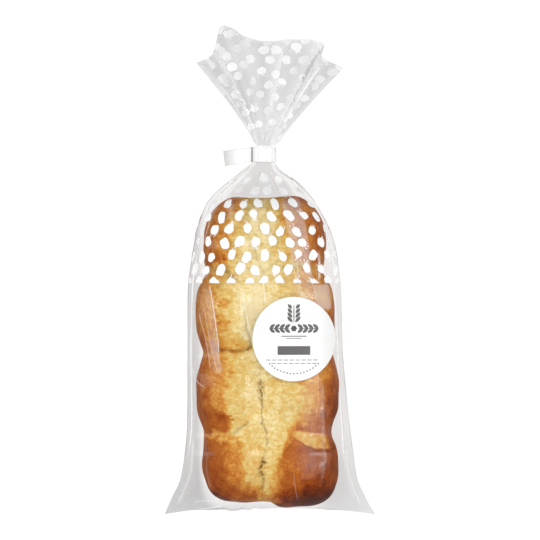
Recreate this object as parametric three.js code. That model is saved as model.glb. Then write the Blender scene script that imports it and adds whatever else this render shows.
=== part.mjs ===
import * as THREE from 'three';

// A brioche loaf in a clear film bag, lying on its flat underside with the crown up. The loaf is two
// columns of four dough balls, and the film draped over it shows them. A band gathers the bag's neck,
// and the mouth spreads past it as a pleated fan. X runs across the pack, Y from the heat-sealed end
// to the mouth, Z up, in millimetres. The origin is under the middle of the pack.

// Bag length, along Y
const SEAL_Y = -190.4;
const NECK_START_Y = 86.4;
const NECK_END_Y = 98.4;
const MOUTH_PEAK_Y = 195.8;

// Sealed end: a flat seam, wider than the loaf, whose two corners sweep back and sag
const SEAL_HALF_WIDTH = 84.8;
const SEAL_CORNER_SWEEP = 5.4;
const SEAL_CORNER_SAG = 19;
const SEAL_HALF_THICKNESS = 0.7;
const CORNER_START_Y = -146;

// Edges of the film seen from above, as [y, x]
const LEFT_EDGE = [
  [SEAL_Y, -SEAL_HALF_WIDTH], [-176.5, -77.8], [-165, -71.6], [-142, -67.4], [-125, -66], [-20, -65.6],
  [18, -61.2], [50, -52.4], [61, -44.4], [80, -21.2], [NECK_START_Y, -13],
];
const RIGHT_EDGE = [
  [SEAL_Y, SEAL_HALF_WIDTH], [-176.5, 76], [-165, 69.8], [-142, 66], [-104, 61.2], [-64, 58],
  [-14, 56.4], [18, 52.4], [50, 38.8], [70, 22.8], [80, 7.6], [NECK_START_Y, 3.4],
];

// Height of the film's crown, of its widest line and of its underside along the pack, as [y, z]
const CROWN_LINE = [
  [SEAL_Y, 32.7], [-189.4, 49], [-187.4, 59], [-184.4, 66.5], [-178, 74], [-168, 79.2], [-155, 81.5],
  [-142, 82], [16, 81.5], [34, 79], [45, 74], [54, 65], [61, 53.5], [72, 41.5], [NECK_START_Y, 33.2],
];
const WIDEST_LINE = [[SEAL_Y, 32], [-165, 35], [-140, 36], [40, 36], [NECK_START_Y, 27]];
const UNDERSIDE_LINE = [
  [SEAL_Y, 31.3], [-188.6, 20], [-185, 7], [-179, 0], [-170, -2.5], [40, -2.5], [52, 2], [66, 12],
  [NECK_START_Y, 20.8],
];

// Fullness of the section, as superellipse exponents [y, exponent] above and below the widest line
const UPPER_FULLNESS = [
  [SEAL_Y, 1.3], [-184, 1.75], [-172, 2.2], [-158, 2.8], [-142, 3.1], [46, 3.1], [64, 2.3], [NECK_START_Y, 2],
];
const LOWER_FULLNESS = [
  [SEAL_Y, 1.3], [-184, 1.9], [-172, 2.6], [-158, 3.8], [-142, 4.6], [46, 4.6], [64, 2.6], [NECK_START_Y, 2],
];

// Dough balls: the film dips between the rows, and along the tear between the two columns
const ROW_JOINTS_Y = [-128.8, -66.4, -1.6];
const ROW_JOINT_WIDTH = 12;
const ROW_JOINT_DIP = 5.6;
const TEAR_X = -6.5;
const TEAR_WIDTH = 15;
const TEAR_DIP = 5;

// Gathers that run from the neck out over the shoulder
const GATHER_COUNT = 11;
const GATHER_DEPTH = 1.5;
const GATHER_CENTRE_Y = 72;
const GATHER_REACH = 15;

// Neck inside the band, and the band's centre line
const NECK_X = -4.8;
const NECK_Z = 27;
const NECK_HALF_WIDTH = 8.2;
const NECK_HALF_HEIGHT = 6.2;

// Fan: the mouth's edge seen from above, as [x, y], and its pleats
const MOUTH_EDGE = [
  [-58, 167.2], [-51, 170], [-44.2, 176], [-40.6, 193], [-38.4, MOUTH_PEAK_Y], [-28.4, 192],
  [-16.4, 186.4], [-3.6, 184], [17.2, 185.6], [38, 182.6], [44.5, 171], [57.2, 161.6],
];
const MOUTH_LEFT_X = -58;
const MOUTH_RIGHT_X = 57.2;
const FAN_FLARE = 1.2;
const FAN_HALF_THICKNESS = 1.4;
const FAN_FLATTENING = 7;
const FAN_DROOP = 13;

// Height of the fan's pleats at the mouth, as [across, z], with across from -1 at the left tip to 1
const PLEATS = [
  [-1, 2], [-0.84, -5], [-0.6, 8], [-0.42, -3], [-0.15, 3], [0.1, 5], [0.38, -4], [0.68, 7.5], [0.84, -5],
  [1, 1],
];

// Band: a tape round the neck, 12 wide, whose joined ends stand out to the left as a flat tab
const BAND_WALL = 1;
const BAND_GAP = 0.4;
const TAB_END_X = -36.8;
const TAB_THICKNESS = 1.2;
const TAB_SKEW = 0.13;
const TAB_SAG = 2.5;
const TAB_CURL = 3.2;
const TAB_CURL_SHARES = [0.45, 1.15];

// Round label, stuck on the film over the right-hand column
const LABEL_X = 18.8;
const LABEL_Y = -54.6;
const LABEL_HALF_WIDTH = 32.7;
const LABEL_HALF_HEIGHT = 33.4;
const LABEL_THICKNESS = 0.5;
const LABEL_GAP = 0.5;
const LABEL_STIFFNESS = 0.8;
const LABEL_STIFF_BORDER = 14;

// Facets
const RING_POINTS = 64;
const SEAL_STATIONS = 13;
const BODY_STATIONS = 25;
const SHOULDER_STATIONS = 13;
const NECK_STATIONS = 2;
const FAN_STATIONS = 13;
const BAND_SEGMENTS = 40;
const TAB_STEPS = 12;
const LABEL_SECTORS = 40;
const LABEL_RINGS = 7;

// A smooth line through [along, value] points that never overshoots them: cubic pieces whose slopes
// are the harmonic mean of the slopes on either side, and zero at a turn
function smoothLine(points) {
  const slopes = points.slice(1).map(([a, v], i) => (v - points[i][1]) / (a - points[i][0]));
  const tangents = points.map((_, i) => {
    if (i === 0) return slopes[0];
    if (i === points.length - 1) return slopes[i - 1];
    const [before, after] = [slopes[i - 1], slopes[i]];
    return before * after > 0 ? (2 * before * after) / (before + after) : 0;
  });
  return (at) => {
    const x = THREE.MathUtils.clamp(at, points[0][0], points[points.length - 1][0]);
    const i = Math.min(points.findIndex(([a], k) => k > 0 && x <= a), points.length - 1) - 1;
    const width = points[i + 1][0] - points[i][0];
    const t = (x - points[i][0]) / width;
    const [v0, v1] = [points[i][1], points[i + 1][1]];
    return (
      v0 * (1 + 2 * t) * (1 - t) ** 2 + v1 * t * t * (3 - 2 * t) +
      width * (tangents[i] * t * (1 - t) ** 2 - tangents[i + 1] * t * t * (1 - t))
    );
  };
}

const leftEdge = smoothLine(LEFT_EDGE);
const rightEdge = smoothLine(RIGHT_EDGE);
const crownLine = smoothLine(CROWN_LINE);
const widestLine = smoothLine(WIDEST_LINE);
const undersideLine = smoothLine(UNDERSIDE_LINE);
const upperFullness = smoothLine(UPPER_FULLNESS);
const lowerFullness = smoothLine(LOWER_FULLNESS);
const mouthEdge = smoothLine(MOUTH_EDGE);
const pleat = smoothLine(PLEATS);

const hill = (distance, width) => Math.exp(-((distance / width) ** 2));
const smooth = THREE.MathUtils.smoothstep;

// How much of the sealed end's flat corners shows at a station: 0 over the loaf, 1 at the seam
const cornerShare = (y) => 1 - smooth(y, SEAL_Y, CORNER_START_Y);

// Depth of the film's dips between the dough balls, at a place on the crown. The label holds the film
// nearly smooth.
function loafDip(x, y) {
  const fromLabel = Math.hypot(x - LABEL_X, y - LABEL_Y) - LABEL_HALF_HEIGHT;
  const free = 1 - LABEL_STIFFNESS * (1 - smooth(fromLabel, 0, LABEL_STIFF_BORDER));
  const loaf = free * smooth(y, -186, -160) * (1 - smooth(y, 30, 56));
  const flank = 1 - 0.45 * hill(x - TEAR_X, TEAR_WIDTH);
  const rows = ROW_JOINTS_Y.reduce((sum, joint) => sum + hill(y - joint, ROW_JOINT_WIDTH), 0);
  return loaf * (ROW_JOINT_DIP * flank * rows + TEAR_DIP * hill(x - TEAR_X, TEAR_WIDTH));
}

// A point of the film round the loaf. "across" runs from -1 at the left edge to 1 at the right one,
// and "level" from -1 on the underside to 1 on the crown.
function filmPoint(station, across, level) {
  const [left, right] = [leftEdge(station), rightEdge(station)];
  const middle = (left + right) / 2;
  const x = middle + (across * (right - left)) / 2;
  const corner = cornerShare(station);
  const y = station - corner * SEAL_CORNER_SWEEP * Math.abs(across) ** 2.5;
  const widest = widestLine(station) - corner * SEAL_CORNER_SAG * Math.abs(across) ** 3;
  const edge = level > 0 ? crownLine(station) : undersideLine(station);
  const reach = Math.abs(edge - widestLine(station));
  const dip = level > 0 ? loafDip(x, station) * smooth(level, 0.25, 0.85) : 0;
  return [x, y, Math.max(widest + level * reach - dip, 0)];
}

// Across and level of a superellipse's point at an angle
function sectionPoint(angle, fullness) {
  const [c, s] = [Math.cos(angle), Math.sin(angle)];
  const size = (Math.abs(c) ** fullness + Math.abs(s) ** fullness) ** (1 / fullness);
  return [c / size, s / size];
}

const ringAngle = (i) => (2 * Math.PI * i) / RING_POINTS;

function loafRing(station) {
  const gather = GATHER_DEPTH * hill(station - GATHER_CENTRE_Y, GATHER_REACH);
  return Array.from({ length: RING_POINTS }, (_, i) => {
    const angle = ringAngle(i);
    const upper = i < RING_POINTS / 2;
    const [across, level] = sectionPoint(angle, upper ? upperFullness(station) : lowerFullness(station));
    const [x, y, z] = filmPoint(station, across, level);
    const fold = gather * Math.cos(GATHER_COUNT * angle + 0.6);
    return [x + fold * across, y, z + fold * level];
  });
}

function neckRing(y) {
  return Array.from({ length: RING_POINTS }, (_, i) => {
    const [across, level] = sectionPoint(ringAngle(i), 2);
    return [NECK_X + NECK_HALF_WIDTH * across, y, NECK_Z + NECK_HALF_HEIGHT * level];
  });
}

// The fan: each line from the neck runs out to its own point of the mouth's edge
function fanRing(share) {
  return Array.from({ length: RING_POINTS }, (_, i) => {
    const [across, level] = sectionPoint(ringAngle(i), 2);
    const mouthX = THREE.MathUtils.lerp(MOUTH_LEFT_X, MOUTH_RIGHT_X, (across + 1) / 2);
    const neckX = NECK_X + NECK_HALF_WIDTH * across;
    const x = neckX + (mouthX - neckX) * share ** FAN_FLARE;
    const y = NECK_END_Y + (mouthEdge(mouthX) - NECK_END_Y) * share;
    const middle = NECK_Z - FAN_DROOP * share ** 1.4 + smooth(share, 0, 1) * pleat(across);
    const flattened = Math.exp(-FAN_FLATTENING * share);
    const thickness = FAN_HALF_THICKNESS + (NECK_HALF_HEIGHT - FAN_HALF_THICKNESS) * flattened;
    return [x, y, middle + thickness * level];
  });
}

// A closed solid through rings of points. Its two ends are closed by strips between the upper and
// lower points of the end rings.
function loftRings(rings) {
  const count = RING_POINTS;
  const positions = rings.flat(2);
  const triangles = [];
  for (let r = 0; r < rings.length - 1; r++) {
    for (let i = 0; i < count; i++) {
      const j = (i + 1) % count;
      const [a, b, c, d] = [r * count + i, r * count + j, (r + 1) * count + j, (r + 1) * count + i];
      triangles.push(a, c, b, a, d, c);
    }
  }
  const closeEnd = (first, flip) => {
    for (let i = 0; i < count / 2; i++) {
      const [a, b] = [first + i, first + i + 1];
      const [c, d] = [first + ((count - i - 1) % count), first + ((count - i) % count)];
      const faces = i === 0 ? [[a, b, c]] : i === count / 2 - 1 ? [[a, b, d]] : [[a, b, c], [a, c, d]];
      for (const [p, q, s] of faces) triangles.push(...(flip ? [p, s, q] : [p, q, s]));
    }
  };
  closeEnd(0, false);
  closeEnd((rings.length - 1) * count, true);
  const geometry = new THREE.BufferGeometry();
  geometry.setAttribute('position', new THREE.Float32BufferAttribute(positions, 3));
  geometry.setIndex(triangles);
  return geometry;
}

// Evenly spaced stations from one value up to but not including the next; a power above 1 crowds
// them at the start
function stations(from, to, count, power = 1) {
  return Array.from({ length: count }, (_, i) => from + (to - from) * (i / count) ** power);
}

function bagGeometry() {
  const bodyStart = -158;
  const bodyEnd = 40;
  const loafRings = [
    ...stations(SEAL_Y, bodyStart, SEAL_STATIONS, 1.7),
    ...stations(bodyStart, bodyEnd, BODY_STATIONS),
    ...stations(bodyEnd, NECK_START_Y, SHOULDER_STATIONS),
  ].map(loafRing);
  const neckRings = stations(NECK_START_Y, NECK_END_Y, NECK_STATIONS).map(neckRing);
  const fanRings = [...stations(0, 1, FAN_STATIONS, 1.15), 1].map(fanRing);
  return loftRings([...loafRings, ...neckRings, ...fanRings]);
}

// The band's outline in the XZ plane is extruded along Y. The tab is then turned, with its end cut
// square to its length, sagged as the square of the distance, and curled down in its outer half.
function bandGeometry() {
  const [innerX, innerZ] = [NECK_HALF_WIDTH + BAND_GAP, NECK_HALF_HEIGHT + BAND_GAP];
  const [outerX, outerZ] = [innerX + BAND_WALL, innerZ + BAND_WALL];
  const tabAngle = Math.asin(TAB_THICKNESS / 2 / outerZ);
  const width = NECK_END_Y - NECK_START_Y;
  const outline = new THREE.Shape();
  outline.absellipse(0, 0, outerX, outerZ, -Math.PI + tabAngle, Math.PI - tabAngle, false, 0);
  const tabLength = NECK_X - outerX - TAB_END_X;
  const tabX = (i) => -outerX - (tabLength * i) / TAB_STEPS;
  for (let i = 1; i <= TAB_STEPS; i++) outline.lineTo(tabX(i), TAB_THICKNESS / 2);
  for (let i = TAB_STEPS; i >= 1; i--) outline.lineTo(tabX(i), -TAB_THICKNESS / 2);
  const hole = new THREE.Path();
  hole.absellipse(0, 0, innerX, innerZ, 0, 2 * Math.PI, true, 0);
  outline.holes.push(hole);
  const extrusion = { depth: width, bevelEnabled: false, curveSegments: BAND_SEGMENTS };
  const geometry = new THREE.ExtrudeGeometry(outline, extrusion);
  geometry.rotateX(Math.PI / 2);
  geometry.translate(NECK_X, NECK_END_Y, NECK_Z);
  const place = geometry.attributes.position;
  for (let i = 0; i < place.count; i++) {
    const along = Math.max(NECK_X - outerX - place.getX(i), 0);
    const share = along / tabLength;
    const fromMiddle = place.getY(i) - (NECK_START_Y + NECK_END_Y) / 2;
    place.setX(i, place.getX(i) - TAB_SKEW * fromMiddle * share);
    place.setY(i, place.getY(i) - TAB_SKEW * along);
    place.setZ(i, place.getZ(i) - TAB_SAG * share ** 2 - TAB_CURL * smooth(share, ...TAB_CURL_SHARES));
  }
  return geometry;
}

// Height of the film's upper face at a place over the loaf
function crownHeight(x, y) {
  const [left, right] = [leftEdge(y), rightEdge(y)];
  const across = (2 * x - left - right) / (right - left);
  const fullness = upperFullness(y);
  const level = (1 - Math.abs(across) ** fullness) ** (1 / fullness);
  return filmPoint(y, across, level)[2];
}

// A point lifted off the film's upper face along its normal
function aboveFilm(x, y, lift) {
  const step = 1;
  const slopeX = (crownHeight(x + step, y) - crownHeight(x - step, y)) / (2 * step);
  const slopeY = (crownHeight(x, y + step) - crownHeight(x, y - step)) / (2 * step);
  const normal = new THREE.Vector3(-slopeX, -slopeY, 1).setLength(lift);
  return [x + normal.x, y + normal.y, crownHeight(x, y) + normal.z];
}

// The label is a round sheet laid on the film: rings of points above and below, closed at the rim
function labelGeometry() {
  const positions = [];
  for (const lift of [LABEL_GAP, LABEL_GAP + LABEL_THICKNESS]) {
    positions.push(...aboveFilm(LABEL_X, LABEL_Y, lift));
    for (let ring = 1; ring <= LABEL_RINGS; ring++) {
      for (let i = 0; i < LABEL_SECTORS; i++) {
        const angle = (2 * Math.PI * i) / LABEL_SECTORS;
        const x = LABEL_X + (LABEL_HALF_WIDTH * ring * Math.cos(angle)) / LABEL_RINGS;
        const y = LABEL_Y + (LABEL_HALF_HEIGHT * ring * Math.sin(angle)) / LABEL_RINGS;
        positions.push(...aboveFilm(x, y, lift));
      }
    }
  }
  const sheet = 1 + LABEL_RINGS * LABEL_SECTORS;
  const inSheet = (ring, i) => (ring ? 1 + (ring - 1) * LABEL_SECTORS + (i % LABEL_SECTORS) : 0);
  const at = (side, ring, i) => side * sheet + inSheet(ring, i);
  const triangles = [];
  for (let i = 0; i < LABEL_SECTORS; i++) {
    for (let ring = 0; ring < LABEL_RINGS; ring++) {
      for (const side of [0, 1]) {
        const faces = [[at(side, ring, i), at(side, ring + 1, i), at(side, ring + 1, i + 1)]];
        if (ring) faces.push([at(side, ring, i), at(side, ring + 1, i + 1), at(side, ring, i + 1)]);
        for (const [p, q, s] of faces) triangles.push(...(side ? [p, q, s] : [p, s, q]));
      }
    }
    const [a, b] = [at(0, LABEL_RINGS, i), at(0, LABEL_RINGS, i + 1)];
    const [c, d] = [at(1, LABEL_RINGS, i + 1), at(1, LABEL_RINGS, i)];
    triangles.push(a, b, c, a, c, d);
  }
  const geometry = new THREE.BufferGeometry();
  geometry.setAttribute('position', new THREE.Float32BufferAttribute(positions, 3));
  geometry.setIndex(triangles);
  return geometry;
}

function piece(name, geometry, color, roughness) {
  const mesh = new THREE.Mesh(geometry, new THREE.MeshStandardMaterial({ color, roughness, metalness: 0 }));
  mesh.name = name;
  return mesh;
}

const pack = new THREE.Group();
pack.add(piece('bag', bagGeometry(), '#dcb27c', 0.3));
pack.add(piece('band', bandGeometry(), '#f4f4f2', 0.35));
pack.add(piece('label', labelGeometry(), '#fbfbf9', 0.55));

export default pack;
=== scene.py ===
"""A brioche loaf in a clear film bag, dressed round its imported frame. The pack lies on its underside.

X runs across the pack, Y from the sealed end to the gathered mouth, and Z up through the crown.
Shapes are worked out in millimetres, and become metres as they go into a mesh.
"""

import bmesh
import bpy
import numpy as np
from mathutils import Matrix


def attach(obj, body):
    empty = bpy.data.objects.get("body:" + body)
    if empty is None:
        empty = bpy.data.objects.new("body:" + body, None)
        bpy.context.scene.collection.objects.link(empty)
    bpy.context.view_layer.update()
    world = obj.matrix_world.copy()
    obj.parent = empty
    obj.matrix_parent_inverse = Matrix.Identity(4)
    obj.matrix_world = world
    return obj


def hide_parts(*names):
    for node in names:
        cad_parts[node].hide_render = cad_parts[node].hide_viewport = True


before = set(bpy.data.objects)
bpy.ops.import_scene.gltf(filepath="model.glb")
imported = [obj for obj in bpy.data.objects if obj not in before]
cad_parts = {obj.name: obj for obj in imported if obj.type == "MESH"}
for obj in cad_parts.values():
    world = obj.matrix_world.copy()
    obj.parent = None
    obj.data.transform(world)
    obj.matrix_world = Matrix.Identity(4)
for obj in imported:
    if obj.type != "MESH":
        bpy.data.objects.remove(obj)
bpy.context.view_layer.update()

# The brioche: eight balls of dough in two columns, set side by side in a tin, which rose into one
# loaf. Each ball keeps its own egg-washed, browned cap. Where the balls pulled apart as they rose,
# along the middle and between the rows, the crust tore and pale crumb shows.
MM = 0.001
LOAF_AXIS_X = -4.0
LOAF_AXIS_Z = 36.0
LOAF_AXIS_ENDS = (-146.0, 18.0)
LOAF_RINGS = 344
LOAF_RING_POINTS = 278
LOAF_TOP_SHARE = 0.62
LOAF_BASE_Z = 0.9
RAY_REACH = 80.0
HALVINGS = 18
POLE_OPENING = 0.004

# Balls as [x, y, half width, half length, height of the crown, squareness in plan, depth under the axis],
# from the sealed end, and last the foot that bulges from the ball in the sealed end's right-hand corner
BALLS = np.array([
    [-28.2, -154.3, 24.6, 29.6, 76.5, 2.4, 40], [23.9, -157.2, 30.2, 31.2, 76.5, 2.6, 40],
    [-30.2, -97.5, 27.9, 34.5, 78.0, 2.6, 40], [23.5, -97.0, 30.7, 34.5, 78.5, 2.6, 40],
    [-30.5, -34.0, 28.2, 35.0, 78.0, 2.6, 40], [21.5, -34.0, 29.4, 35.0, 78.5, 2.6, 40],
    [-27.5, 18.6, 25.0, 38.3, 76.5, 2.1, 40], [17.5, 21.6, 26.4, 35.6, 77.0, 2.1, 40],
    [10.8, -176.0, 9.2, 12.2, 64.0, 3.0, 26],
])
BALL_SIDE_FULLNESS = 2.1
CORE_WIDTH = [[-190, 43], [-160, 48], [-128, 49.5], [-66, 50.5], [0, 44], [30, 42], [60, 38]]
CORE_MIDDLE = [[-190, -3], [-150, -2], [-128, -2.4], [-66, -1.6], [0, -4], [40, -3.4], [60, -1.5]]
CORE_SPAN = (-184.5, 57.2)
CORE_END_SQUARENESS = 11
CORE_END_ROUNDING = 7.5
CORE_TOP = 71.5
CORE_SQUARENESS = 3.4
MERGE = 15.0
ROW_JOINTS_Y = (-128.8, -66.4, -1.6)

# The crack along the middle as [x, y], how open it is along the loaf as [y, share], and the tear beside it
CRACK = [
    [-9, 58], [-10.8, 42], [-10.8, 24], [-10.8, 10], [-8.4, 5], [-6, -2], [-8.4, -10], [-9, -40],
    [-8.8, -66], [-8, -82], [-7.2, -95], [-6.6, -113], [-6.4, -121], [-3, -127], [-2, -130.5],
    [-4.4, -149], [-7.2, -158], [-5.4, -167], [-6.2, -178], [-4, -190],
]
CRACK_OPENING = [
    [-190, 0], [-182, 0.1], [-175, 0.45], [-168, 0.85], [-160, 1.15], [-151, 0.95], [-144, 0.5],
    [-136, 0.4], [-128, 0.6], [-118, 0.6], [-108, 0.75], [-99, 1], [-90, 1.2], [-85, 0.4], [-70, 0.08],
    [-14, 0.08], [-4, 0.25], [10, 0.35], [24, 0.3], [34, 0.05], [58, 0],
]
SIDE_TEAR = [[-24.4, -9], [-21.8, -24], [-19.6, -36], [-18.6, -47], [-16.2, -55], [-15, -58.6], [-17.6, -63]]

# Creases between neighbouring balls as [darkness of their painted shade, width, (x, y), (x, y), ...]
CREASES = [
    [0.6, 1.3, (-15.5, -61.5), (-19, -63.4), (-26, -64.2), (-34, -64.0), (-41, -63.4)],
    [0.25, 1.2, (-41, -63.4), (-52, -65), (-62, -66.5)],
    [0.5, 1.4, (-18, -121.5), (-24, -125.5), (-29, -129.2)],
    [0.2, 1.2, (-29, -129.2), (-40, -128.6), (-62, -128.8)],
    [0.5, 2.3, (-38, 1.4), (-33, -3), (-29, -7.4)], [0.15, 1.0, (-34, 2), (-44, 1.2), (-62, -1.6)],
    [0.25, 1.5, (-5, -2), (3, 4), (9, 9)], [0.2, 0.9, (10, 2), (30, 2), (60, 0)],
    [0.3, 0.9, (-2, -67), (20, -66), (60, -65.6)],
]

# How the crust browned: lines along the loaf as [y, x of the crumb's border, of golden and of brown crust],
# on either side of the crack, then spots as [x, y, half width, half length, browner or paler]
LEFT_BAKE = [
    [-188, -4, -7, -12], [-181, -6, -10, -20], [-172, -12, -16, -28.5], [-159, -19, -22, -36.5],
    [-145, -19.5, -23, -38.5], [-136, -20, -25, -38], [-131, -30, -40, -60], [-126, -29, -31.5, -35],
    [-118, -27, -29.5, -33], [-110, -34, -39, -47], [-96, -33, -38, -50], [-83, -24, -36, -53],
    [-67, -22, -38, -58], [-61, -12, -17, -50], [-48, -28, -35, -56], [-34, -29, -38, -60],
    [-20, -27, -39, -60], [-8, -25, -41, -60], [1, -26, -40, -58], [9, -24, -29, -34], [22, -20, -31, -46],
    [40, -20, -29, -42], [56, -9, -20, -27],
]
RIGHT_BAKE = [
    [-188, -2, 3, 9], [-181, -2, 4, 12], [-172, -1, 6, 15], [-159, 1, 6, 12], [-145, 6, 8.5, 11],
    [-136, 10, 12, 14], [-131, 12, 15, 22], [-126, 15, 18, 22], [-120, 17, 22, 30], [-110, 20, 32, 44],
    [-92, 13, 32, 45], [-66, 12, 32, 46], [-34, 6, 24, 40], [-14, 3, 24, 40], [-7, 3, 22, 42],
    [1, 12, 28, 48], [9, 5, 17, 34], [22, 2, 14, 27], [40, 0, 10, 20], [56, -3, 6, 14],
]
BAKE_SPOTS = [
    [-36.8, -107, 3, 5.5, 0.2], [-38, -119, 9, 5, 0.05], [-34, -26, 3.5, 6, 0.12], [-34, -44, 4, 4, 0.14],
    [-45, -160, 11, 22, 0.06], [-44, -183, 17, 9, 0.17], [39, -183, 22, 12, 0.27],
    [36, -160, 16, 17, 0.08], [11.6, -181, 11, 7, 0.12], [53, -110, 8, 25, 0.14], [52, -38, 7, 15, 0.08],
    [-34, 8, 4.5, 4, 0.2], [-27.6, 47, 8, 6, 0.08], [42, 34, 7, 24, 0.08], [43, -81, 9, 10, -0.08],
    [-15, -103, 1.6, 1.2, 0.3], [22, -156.6, 6, 2.2, -0.16], [4, -184, 6, 2.5, -0.16],
    [-27, -131, 5, 4, -0.12], [30, -104, 12, 9, -0.05], [-11, -156, 8, 24, 0.14], [-6, -100, 22, 20, 0.03],
    [41, -21, 8, 10, -0.16], [-27, -55, 16, 10, -0.15], [-13, -42, 9, 20, -0.15], [-27, -104, 7, 18, 0.05],
    [-42, -100, 7, 12, -0.07], [-28, -44, 5, 18, 0.04], [-3, -183, 14, 9, 0.2],
]
# The pale band between the last two right-hand balls: its upper and lower edges as [x, y]
PALE_BAND_TOP = [[15, -126.5], [26, -127.6], [44, -130.4], [56, -131]]
PALE_BAND_FOOT = [[15, -130], [22, -134.6], [30, -139.6], [38, -142], [47, -142.4], [56, -139]]
LOAF_SIDES_X = (-66, 62)
# Browning runs from 0, pale crumb, to 1, the darkest crust: its value at the crack, and how far it rises
# up to the crumb's border, to golden crust, to brown crust and to the loaf's side
CRACK_BROWNING = 0.09
BAKE_RISES = (0.11, 0.22, 0.2, 0.1)
BORDER_BROWNING = 0.35
BORDER_WIDTH = 0.09
BORDER_PUSH = 0.8
FLANK_BROWNING = 0.65
FLANK_TO_CROWN = (30, 50)
CROWN_FROM = (44, 60)
MOTTLE_WAVES = 40


def smooth_line(points):
    """Returns a line through [along, value] points that never overshoots them: cubic pieces whose slopes
    are the harmonic mean of the slopes on either side, and zero at a turn."""
    along, value = np.array(points, float).T
    slope = np.diff(value) / np.diff(along)
    total = slope[:-1] + slope[1:]
    turning = slope[:-1] * slope[1:] <= 0
    inner = np.where(turning, 0.0, 2 * slope[:-1] * slope[1:] / np.where(turning, 1.0, total))
    tangent = np.concatenate([slope[:1], inner, slope[-1:]])

    def line(at):
        x = np.clip(at, along[0], along[-1])
        i = np.clip(np.searchsorted(along, x) - 1, 0, len(slope) - 1)
        width = along[i + 1] - along[i]
        t = (x - along[i]) / width
        ends = value[i] * (1 + 2 * t) * (1 - t) ** 2 + value[i + 1] * t * t * (3 - 2 * t)
        return ends + width * (tangent[i] * t * (1 - t) ** 2 - tangent[i + 1] * t * t * (1 - t))

    return line


def ease(value, start, end):
    """Rises smoothly from 0 at start to 1 at end, as three squares less two cubes of the share between."""
    t = np.clip((value - start) / (end - start), 0, 1)
    return t * t * (3 - 2 * t)


def hill(distance, width):
    """A bell curve of height 1: e to the minus square of distance over width."""
    return np.exp(-((distance / width) ** 2))


def mottle(points, size, seed, stretch=(1, 1, 1)):
    """Soft irregular mottling between about -1 and 1: the sum of sine waves in random directions whose
    lengths lie round the given size in mm. A stretch above 1 draws it out along that axis."""
    draw = np.random.default_rng(seed)
    waves = draw.normal(size=(MOTTLE_WAVES, 3))
    lengths = draw.uniform(0.6, 1.5, MOTTLE_WAVES)
    waves *= (2 * np.pi / size * lengths / np.linalg.norm(waves, axis=1))[:, None]
    phases = draw.uniform(0, 2 * np.pi, MOTTLE_WAVES)
    scaled = points / np.array(stretch)
    return np.sin(scaled @ waves.T + phases).sum(-1) * np.sqrt(2 / MOTTLE_WAVES) * 0.6


def path_distance(x, y, path):
    """Distance in plan from each place to the nearest of a path's straight stretches."""
    nearest = np.full(np.shape(x), np.inf)
    for (x0, y0), (x1, y1) in zip(path[:-1], path[1:]):
        dx, dy = x1 - x0, y1 - y0
        t = np.clip(((x - x0) * dx + (y - y0) * dy) / (dx * dx + dy * dy), 0, 1)
        nearest = np.minimum(nearest, np.hypot(x - x0 - t * dx, y - y0 - t * dy))
    return nearest


core_width = smooth_line(CORE_WIDTH)
core_middle = smooth_line(CORE_MIDDLE)
crack_x = smooth_line([[y, x] for x, y in reversed(CRACK)])
crack_opening = smooth_line(CRACK_OPENING)


def dough(x, y, z):
    """How far inside the loaf a place is: 1 at the heart of a ball, 0 on its skin. Each ball is a full
    ellipsoid, 1 less its scaled radius, and a soft maximum merges the balls with the body under them,
    whose ends draw in as the square of the height."""
    lift = z - LOAF_AXIS_Z
    middle, half = (CORE_SPAN[0] + CORE_SPAN[1]) / 2, (CORE_SPAN[1] - CORE_SPAN[0]) / 2
    across = np.abs((x - core_middle(y)) / core_width(y)) ** CORE_SQUARENESS
    drawn_in = CORE_END_ROUNDING * (np.maximum(lift, 0) / (CORE_TOP - LOAF_AXIS_Z)) ** 2
    along = ((np.abs(y - middle) + drawn_in) / half) ** CORE_END_SQUARENESS
    tall = np.abs(lift / np.where(lift > 0, CORE_TOP - LOAF_AXIS_Z, LOAF_AXIS_Z + 1)) ** CORE_SQUARENESS
    total = np.exp(MERGE * (1 - (across + along + tall) ** (1 / CORE_SQUARENESS)))
    for ball_x, ball_y, half_width, half_length, crown, square, depth in BALLS:
        plan = np.abs((x - ball_x) / half_width) ** square + np.abs((y - ball_y) / half_length) ** square
        plan = plan ** (1 / square)
        rise = np.abs(lift / np.where(lift > 0, crown - LOAF_AXIS_Z, depth)) ** BALL_SIDE_FULLNESS
        total += np.exp(MERGE * (1 - (plan ** BALL_SIDE_FULLNESS + rise) ** (1 / BALL_SIDE_FULLNESS)))
    return np.log(total) / MERGE


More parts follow.
